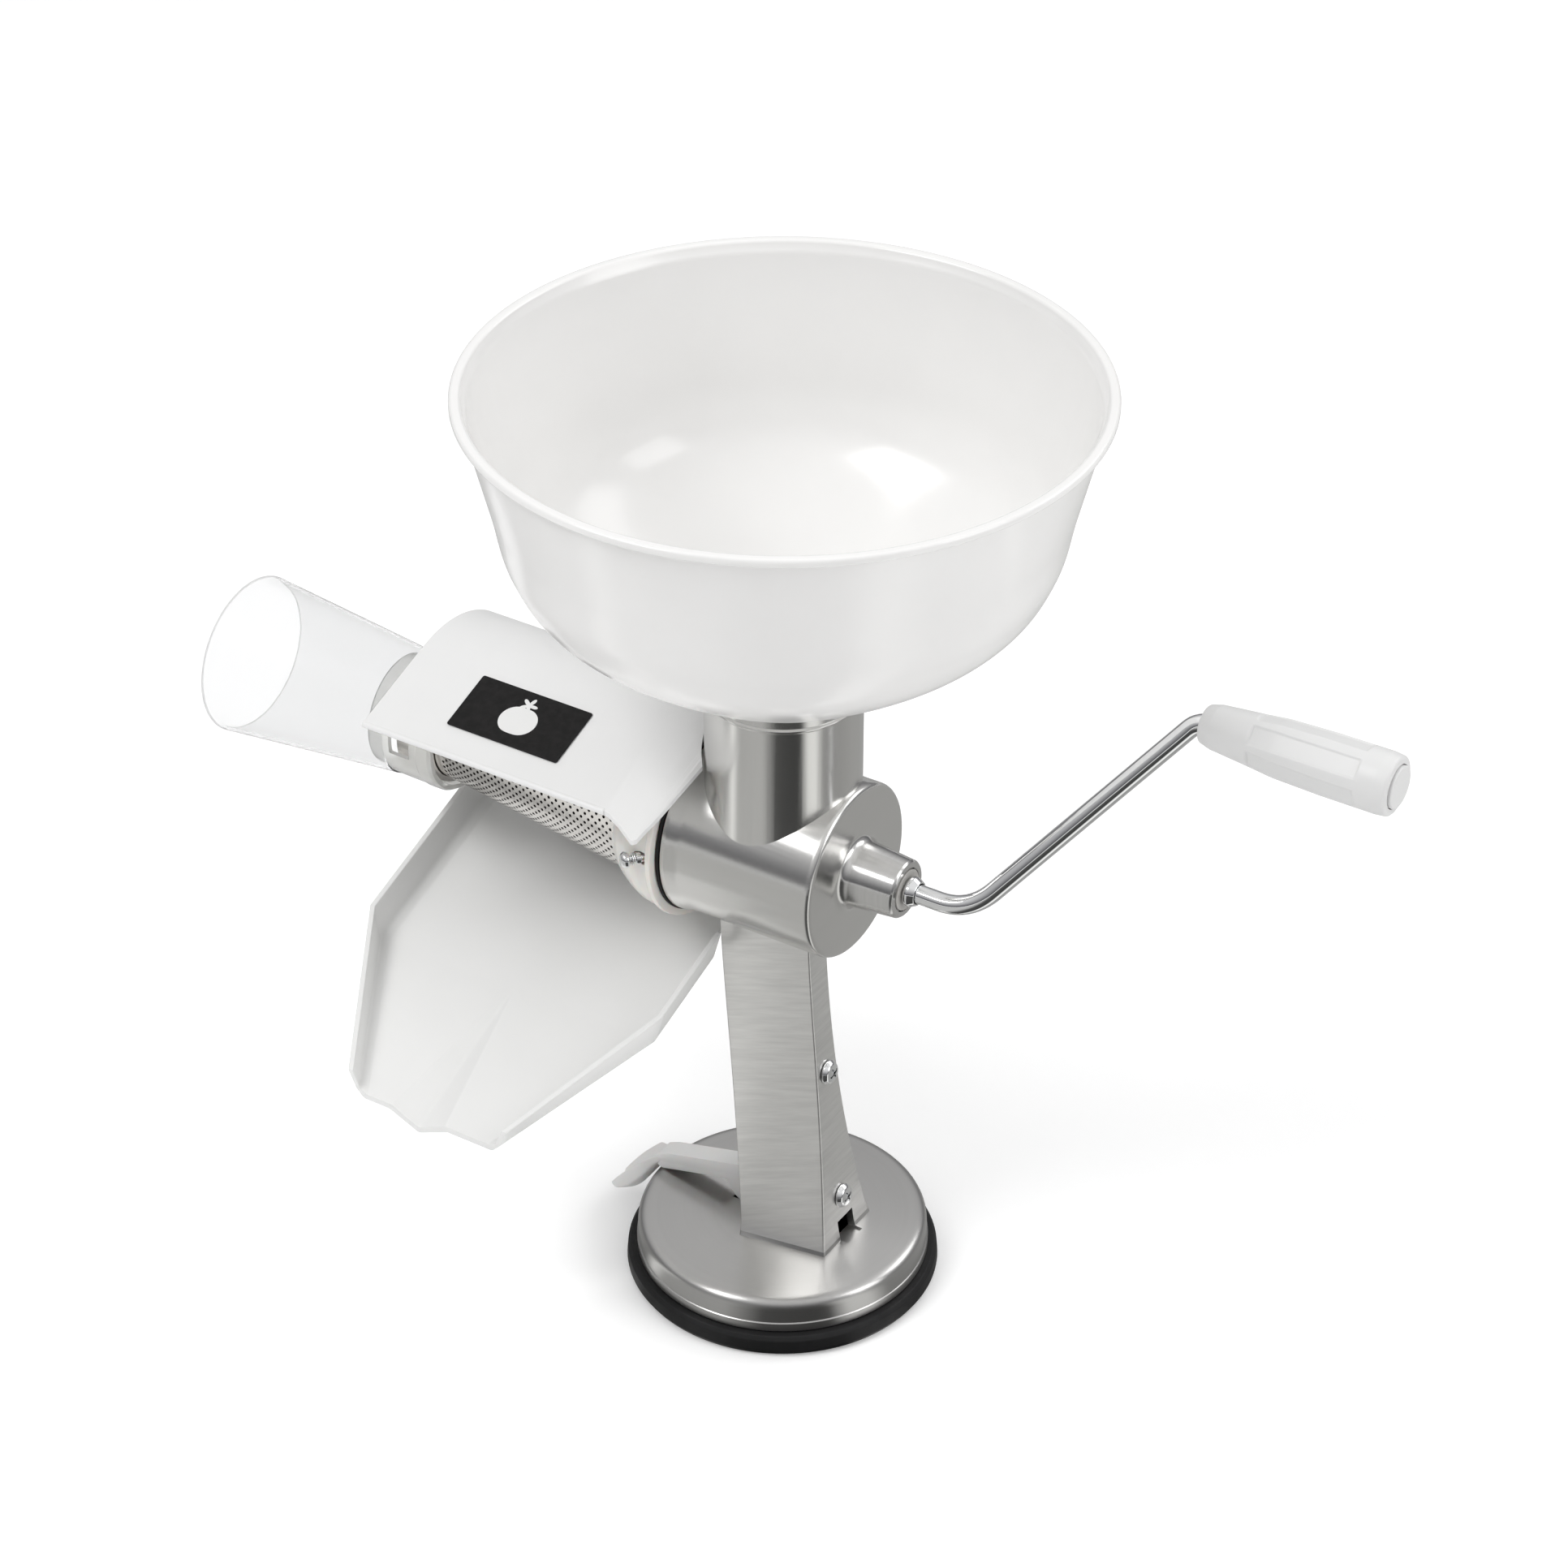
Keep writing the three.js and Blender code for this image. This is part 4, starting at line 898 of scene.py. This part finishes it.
def build_outlet(m):
    outer = rounded([(23, -180), (23.3, -172.6), (24.6, -172.2, 0.3), (24.9, -156), (25.2, -155.3, 0.3),
                     (25.2, -150), (24.4, -148.7)], 0.3)
    inner = [(21.8, -180), (22.6, -172), (22.6, -148.7)]
    coupling = lathe("outlet_coupling", ring_profile(outer, inner), "X")
    windows = []
    for i in range(4):
        window = bevel(block("w", -169, -159, -6.5, 6.5, 18, 30), 0.8)
        windows.append(move(window, about(Matrix.Rotation(math.pi / 2 * (i + 1) - 0.1, 3, "X"),
                                          (0, 0, AXIS_Z))))
    combine(coupling, "DIFFERENCE", *windows)
    dress(coupling, "waste", "clear_plastic", m["clouded"], "waste_coupling")
    outer = [(33, -256), (32.6, -252), (25.1, -173), (25, -172.3)]
    inner = [(31.7, -256), (31.3, -252), (23.8, -173), (23.7, -172.3)]
    cone = lathe("outlet_cone", rounded(ring_profile(outer, inner), 0.35, 4), "X", 160)
    dress(cone, "waste", "clear_plastic", [m["clear"], m["cone_edge"]], "waste_cone",
          pick=lambda place, normal: 1 if place.x < -254.5 and abs(normal.x) > 0.5 else 0)


# ------------------------------------------------------------ the splash shield

def hood_line(radius, lip_y=SHIELD_LIP_Y, drop=0):
    """The hood's section: a straight front slope, an arc over the screen, and a back skirt."""
    start = math.pi / 2 + SHIELD_SLOPE
    ty, tz = radius * math.cos(start), radius * math.sin(start)
    line = [(lip_y, tz - (ty - lip_y) * math.tan(SHIELD_SLOPE))]
    for a in levels(start, 0, 48):
        reach = radius - drop * math.sin(a)
        line.append((reach * math.cos(a), reach * math.sin(a)))
    line.append((radius, SHIELD_SKIRT_Z - AXIS_Z))
    return [(y, z + AXIS_Z) for y, z in line]


def on_slope(x, u, up):
    """A point on the shield's front plane: u back from the lip along the slope, up above it."""
    y0, z0 = hood_line(SHIELD_R)[0]
    c, s = math.cos(SHIELD_SLOPE), math.sin(SHIELD_SLOPE)
    return (x, y0 + u * c - up * s, z0 + u * s + up * c)


def build_shield(m):
    """The hood: its crank end rolls down, and its front corner runs out to a point."""
    edge = rounded([(SHIELD_X0, 0), (-47, 0), (-42, 0.9, 8), (SHIELD_ROLL_X, 3.3, 8), (-31, 6, 6),
                    (-26.4, 8.6, 1.4), (-24.9, 7.2, 1.4), (-24.2, 1.5, 4), (SHIELD_X1, -5.5)], 0, 6)
    rings = []
    for x, out in edge:
        turn = max(0, (x - SHIELD_ROLL_X) / (SHIELD_X1 - SHIELD_ROLL_X))
        drop = 5 * (1 - math.sqrt(max(0, 1 - turn * turn)))
        outer = hood_line(SHIELD_R, SHIELD_LIP_Y - out, drop)
        inner = hood_line(SHIELD_R - SHIELD_WALL, SHIELD_LIP_Y - out, drop)
        rings.append([(x, y, z) for y, z in [*outer, *reversed(inner)]])
    sheet = skin("hood", rings)
    y0, z0 = hood_line(SHIELD_R)[0]
    hem = move(lathe("hem", rounded([(0, SHIELD_X0), (1.3, SHIELD_X0), (1.3, -44), (0, -44)], 0.4), "X", 24,
                     centre_z=0), Matrix.Translation((0, (y0 - 0.1) * MM, (z0 - 1) * MM)))
    rib = lathe("rib", [(47, -46.2), (47, -43.9), (38.9, -43.9), (38.9, -46.2), (47, -46.2)], "X")
    top = block("top", -48, -42, -34, 40, AXIS_Z + 18, AXIS_Z + 60)
    combine(rib, "INTERSECT", top)
    neck_clear = lathe("c", [(0, 140), (31, 140), (31, 270), (0, 270)])
    combine(sheet, "UNION", hem, rib)
    combine(sheet, "DIFFERENCE", neck_clear)
    bevel(sheet, 0.45, 3, 40)
    dress(sheet, "shield", "shield_plastic", m["shield"], "splash_shield", angle=30)


def build_label(m):
    corners = rounded([(-99, 11.7), (-73.5, 11.7, 1), (-73.5, 38.3, 1), (-124.5, 38.3, 1), (-124.5, 11.7, 1),
                       (-99, 11.7)], 1, 5)[:-1]
    film = skin("label", [[on_slope(x, u, up) for x, u in corners] for up in (0.32, 0.58)])
    dress(film, "shield", "label_film", m["label"], "shield_label")

    def disc(name, centre, radii, low, high):
        count = 48
        line = []
        for i in range(count):
            a = 2 * math.pi * i / count
            r = radii(a)
            line.append((centre[0] + r * math.cos(a), centre[1] + r * math.sin(a)))
        return skin(name, [[on_slope(x, u, up) for x, u in line] for up in (low, high)])

    fruit = disc("emblem_fruit", (-99, 23.7),
                 lambda a: 7.6 + 0.5 * math.cos(2 * a) - 0.5 * math.sin(a) ** 8, 0.56, 0.6)
    leaf = disc("emblem_leaf", (-99, 31.9),
                lambda a: 1.3 + 2.6 * abs(math.cos(2.5 * a)) ** 2, 0.61, 0.64)
    dress(fruit, "shield", "label_film", m["emblem"])
    dress(leaf, "shield", "label_film", m["emblem"])


# -------------------------------------------------------------- the sauce chute

def chute_line(y):
    """The tray's section at y, as a closed line of (x, z), with its corners rounded."""
    past = max(0, (CHUTE_BEND_Y - y) / (CHUTE_BEND_Y - CHUTE_LIP_Y))
    left, right = CHUTE_X0 + 38 * past, CHUTE_X1 - 26.5 * past
    rim = CHUTE_RIM_Z + CHUTE_SLOPE * y
    floor = rim - CHUTE_DEPTH + 5 * past
    middle, half, groove = -90 + 2 * past, 0.6 + 12 * past, 6 * past
    t, inset = CHUTE_WALL, 3.6
    return rounded([
        (left - t / 2, rim), (left, rim, 0.5), (left + inset * 0.75, floor + 1.5, 3),
        (left + inset + 3, floor, 3),
        (middle - half, floor, 2), (middle, floor - groove, 3), (middle + half, floor, 2),
        (right - inset - 3, floor, 3), (right - inset * 0.75, floor + 1.5, 3), (right, rim, 0.5),
        (right + t, rim, 0.5), (right + t - inset, floor + 1, 3), (right - inset - 1, floor - t, 3),
        (middle + half + 1, floor - t, 2), (middle, floor - t - groove, 3), (middle - half - 1, floor - t, 2),
        (left + inset + 1, floor - t, 3), (left - t + inset, floor + 1, 3), (left - t, rim, 0.5),
        (left - t / 2, rim)], 0.4, 4)[:-1]


def build_chute(m):
    stations = [CHUTE_BACK_Y, *levels(40, CHUTE_BEND_Y + 2, 12), CHUTE_BEND_Y, *levels(-58, CHUTE_LIP_Y, 24)]
    tray = skin("tray", [[(x, y, z) for x, z in chute_line(y)] for y in stations])

    def wall(name, x0, x1, y0, y1, top, bottom):
        rings = []
        for y in (y0, y1):
            rim = CHUTE_RIM_Z + CHUTE_SLOPE * y
            rings.append([(x0, y, rim - top), (x1, y, rim - top), (x1, y, rim - bottom),
                          (x0, y, rim - bottom)])
        return skin(name, rings)

    back = wall("bw", CHUTE_X0 - 1, CHUTE_X1 + 1, CHUTE_BACK_Y, CHUTE_BACK_Y - CHUTE_WALL, 0, CHUTE_DEPTH + 1)
    for obj in (tray, back):
        combine(obj, "DIFFERENCE", block("pc", -29, 0, -13.6, 60, 120, 200))
    combine(tray, "UNION", back)
    bevel(tray, 0.4, 3, 50)
    dress(tray, "chute", "chute_plastic", m["chute"], "sauce_chute", angle=32)


# -------------------------------------------------------------- stage and camera

def flat_square(name, half, drop):
    """A level square about the origin, a little under the part."""
    square = skin(name, [[(-half, -half, 0), (half, -half, 0)], [(-half, half, 0), (half, half, 0)]],
                  close_rings=False, caps=False)
    return move(square, Matrix.Translation((0, 0, -drop * MM)))


def build_floor():
    floor = flat_square("floor", FLOOR_HALF, FLOOR_DROP)
    paint = Paint("floor_white", (0.9, 0.9, 0.9), 0.7, Emission_Strength=0.16, Emission_Color=(1, 1, 1, 1))
    paint.vary_color(paint.noise(3, detail=2), 0.99, 1.01)
    floor.data.materials.append(paint.material)


def build_card():
    """A card that only reflections see: it gives the bare metal its dark and bright bands."""
    card = flat_square("table_card", CARD_HALF, CARD_DROP)
    card.visible_camera = card.visible_diffuse = card.visible_transmission = card.visible_shadow = False
    dark = bpy.data.materials.new("table_reflection")
    dark.use_nodes = True
    nodes, links = dark.node_tree.nodes, dark.node_tree.links
    nodes.remove(nodes["Principled BSDF"])
    glow = nodes.new("ShaderNodeEmission")
    turned = nodes.new("ShaderNodeMapping")
    turned.inputs["Rotation"].default_value = (0, 0, math.radians(57.84))
    links.new(nodes.new("ShaderNodeTexCoord").outputs["Object"], turned.inputs["Vector"])
    round_about = nodes.new("ShaderNodeTexGradient")
    round_about.gradient_type = "RADIAL"
    links.new(turned.outputs[0], round_about.inputs["Vector"])
    ramp = nodes.new("ShaderNodeValToRGB")
    links.new(round_about.outputs["Fac"], ramp.inputs[0])
    links.new(ramp.outputs[0], glow.inputs["Color"])
    links.new(glow.outputs[0], nodes["Material Output"].inputs["Surface"])
    levels_by_angle = [(-100, 0.36), (-86, 0.3), (-77, 1.2), (-68, 0.5), (-30, 0.55), (-10, 0.08), (24, 0.05),
                       (34, 0.95), (46, 1), (58, 0.32), (110, 0.42)]
    for end in (0, 1):
        ramp.color_ramp.elements[end].color = (0.4, 0.4, 0.395, 1)
    for angle, level in levels_by_angle:
        ramp.color_ramp.elements.new(0.5 + angle / 360).color = (level, level, level * 0.98, 1)
    card.data.materials.append(dark)


def build_camera(scene):
    camera = bpy.data.objects.new("camera", bpy.data.cameras.new("camera"))
    scene.collection.objects.link(camera)
    camera.data.lens = CAMERA_LENS
    camera.data.sensor_width = CAMERA_SENSOR
    camera.data.clip_end = CAMERA_FAR
    azimuth, elevation, roll = (math.radians(a) for a in (CAMERA_AZIMUTH, CAMERA_ELEVATION, CAMERA_ROLL))
    back = Vector((math.sin(azimuth) * math.cos(elevation), -math.cos(azimuth) * math.cos(elevation),
                   math.sin(elevation)))
    right = Vector((math.cos(azimuth), math.sin(azimuth), 0))
    up = back.cross(right)
    right, up = right * math.cos(roll) + up * math.sin(roll), up * math.cos(roll) - right * math.sin(roll)
    camera.matrix_world = Matrix((right, up, back)).transposed().to_4x4()
    camera.location = CAMERA_PLACE
    scene.camera = camera


def build_lights(scene):
    def lamp(name, at, aim, width, height, power):
        light = bpy.data.lights.new(name, "AREA")
        light.shape = "RECTANGLE"
        light.size = width
        light.size_y = height
        light.energy = power
        obj = bpy.data.objects.new(name, light)
        scene.collection.objects.link(obj)
        obj.location = at
        obj.rotation_euler = (Vector(aim) - Vector(at)).to_track_quat("-Z", "Y").to_euler()

    lamp("key_softbox", (-0.9, -1.3, 2.2), (0, 0, 0.2), 1.3, 1.0, 26)
    lamp("right_softbox", (1.9, 0.2, 1.2), (0, 0, 0.2), 0.9, 1.4, 11)
    lamp("back_softbox", (0.95, 1.6, 1.7), (0, 0, 0.25), 1.4, 0.8, 10)


def build_world(scene):
    world = bpy.data.worlds.new("studio")
    world.use_nodes = True
    scene.world = world
    tree = world.node_tree
    background = tree.nodes["Background"]
    coordinates = tree.nodes.new("ShaderNodeTexCoord")
    split = tree.nodes.new("ShaderNodeSeparateXYZ")
    ramp = tree.nodes.new("ShaderNodeValToRGB")
    ramp.color_ramp.elements[0].position = 0.0
    ramp.color_ramp.elements[0].color = (0.1, 0.1, 0.105, 1)
    ramp.color_ramp.elements[1].position = 0.75
    ramp.color_ramp.elements[1].color = (1, 1, 1, 1)
    middle = ramp.color_ramp.elements.new(0.22)
    middle.color = (0.3, 0.3, 0.31, 1)
    tree.links.new(coordinates.outputs["Generated"], split.inputs[0])
    tree.links.new(split.outputs["Z"], ramp.inputs[0])
    tree.links.new(ramp.outputs[0], background.inputs["Color"])
    background.inputs["Strength"].default_value = 0.84
    scene.view_settings.view_transform = "Standard"


def main():
    materials = make_materials()
    for build in (build_casting, build_base, build_lever, build_hopper, build_crank, build_spiral,
                  build_screen, build_collar, build_outlet, build_shield, build_label, build_chute):
        build(materials)
    build_floor()
    build_card()
    for build in (build_camera, build_lights, build_world):
        build(bpy.context.scene)


main()
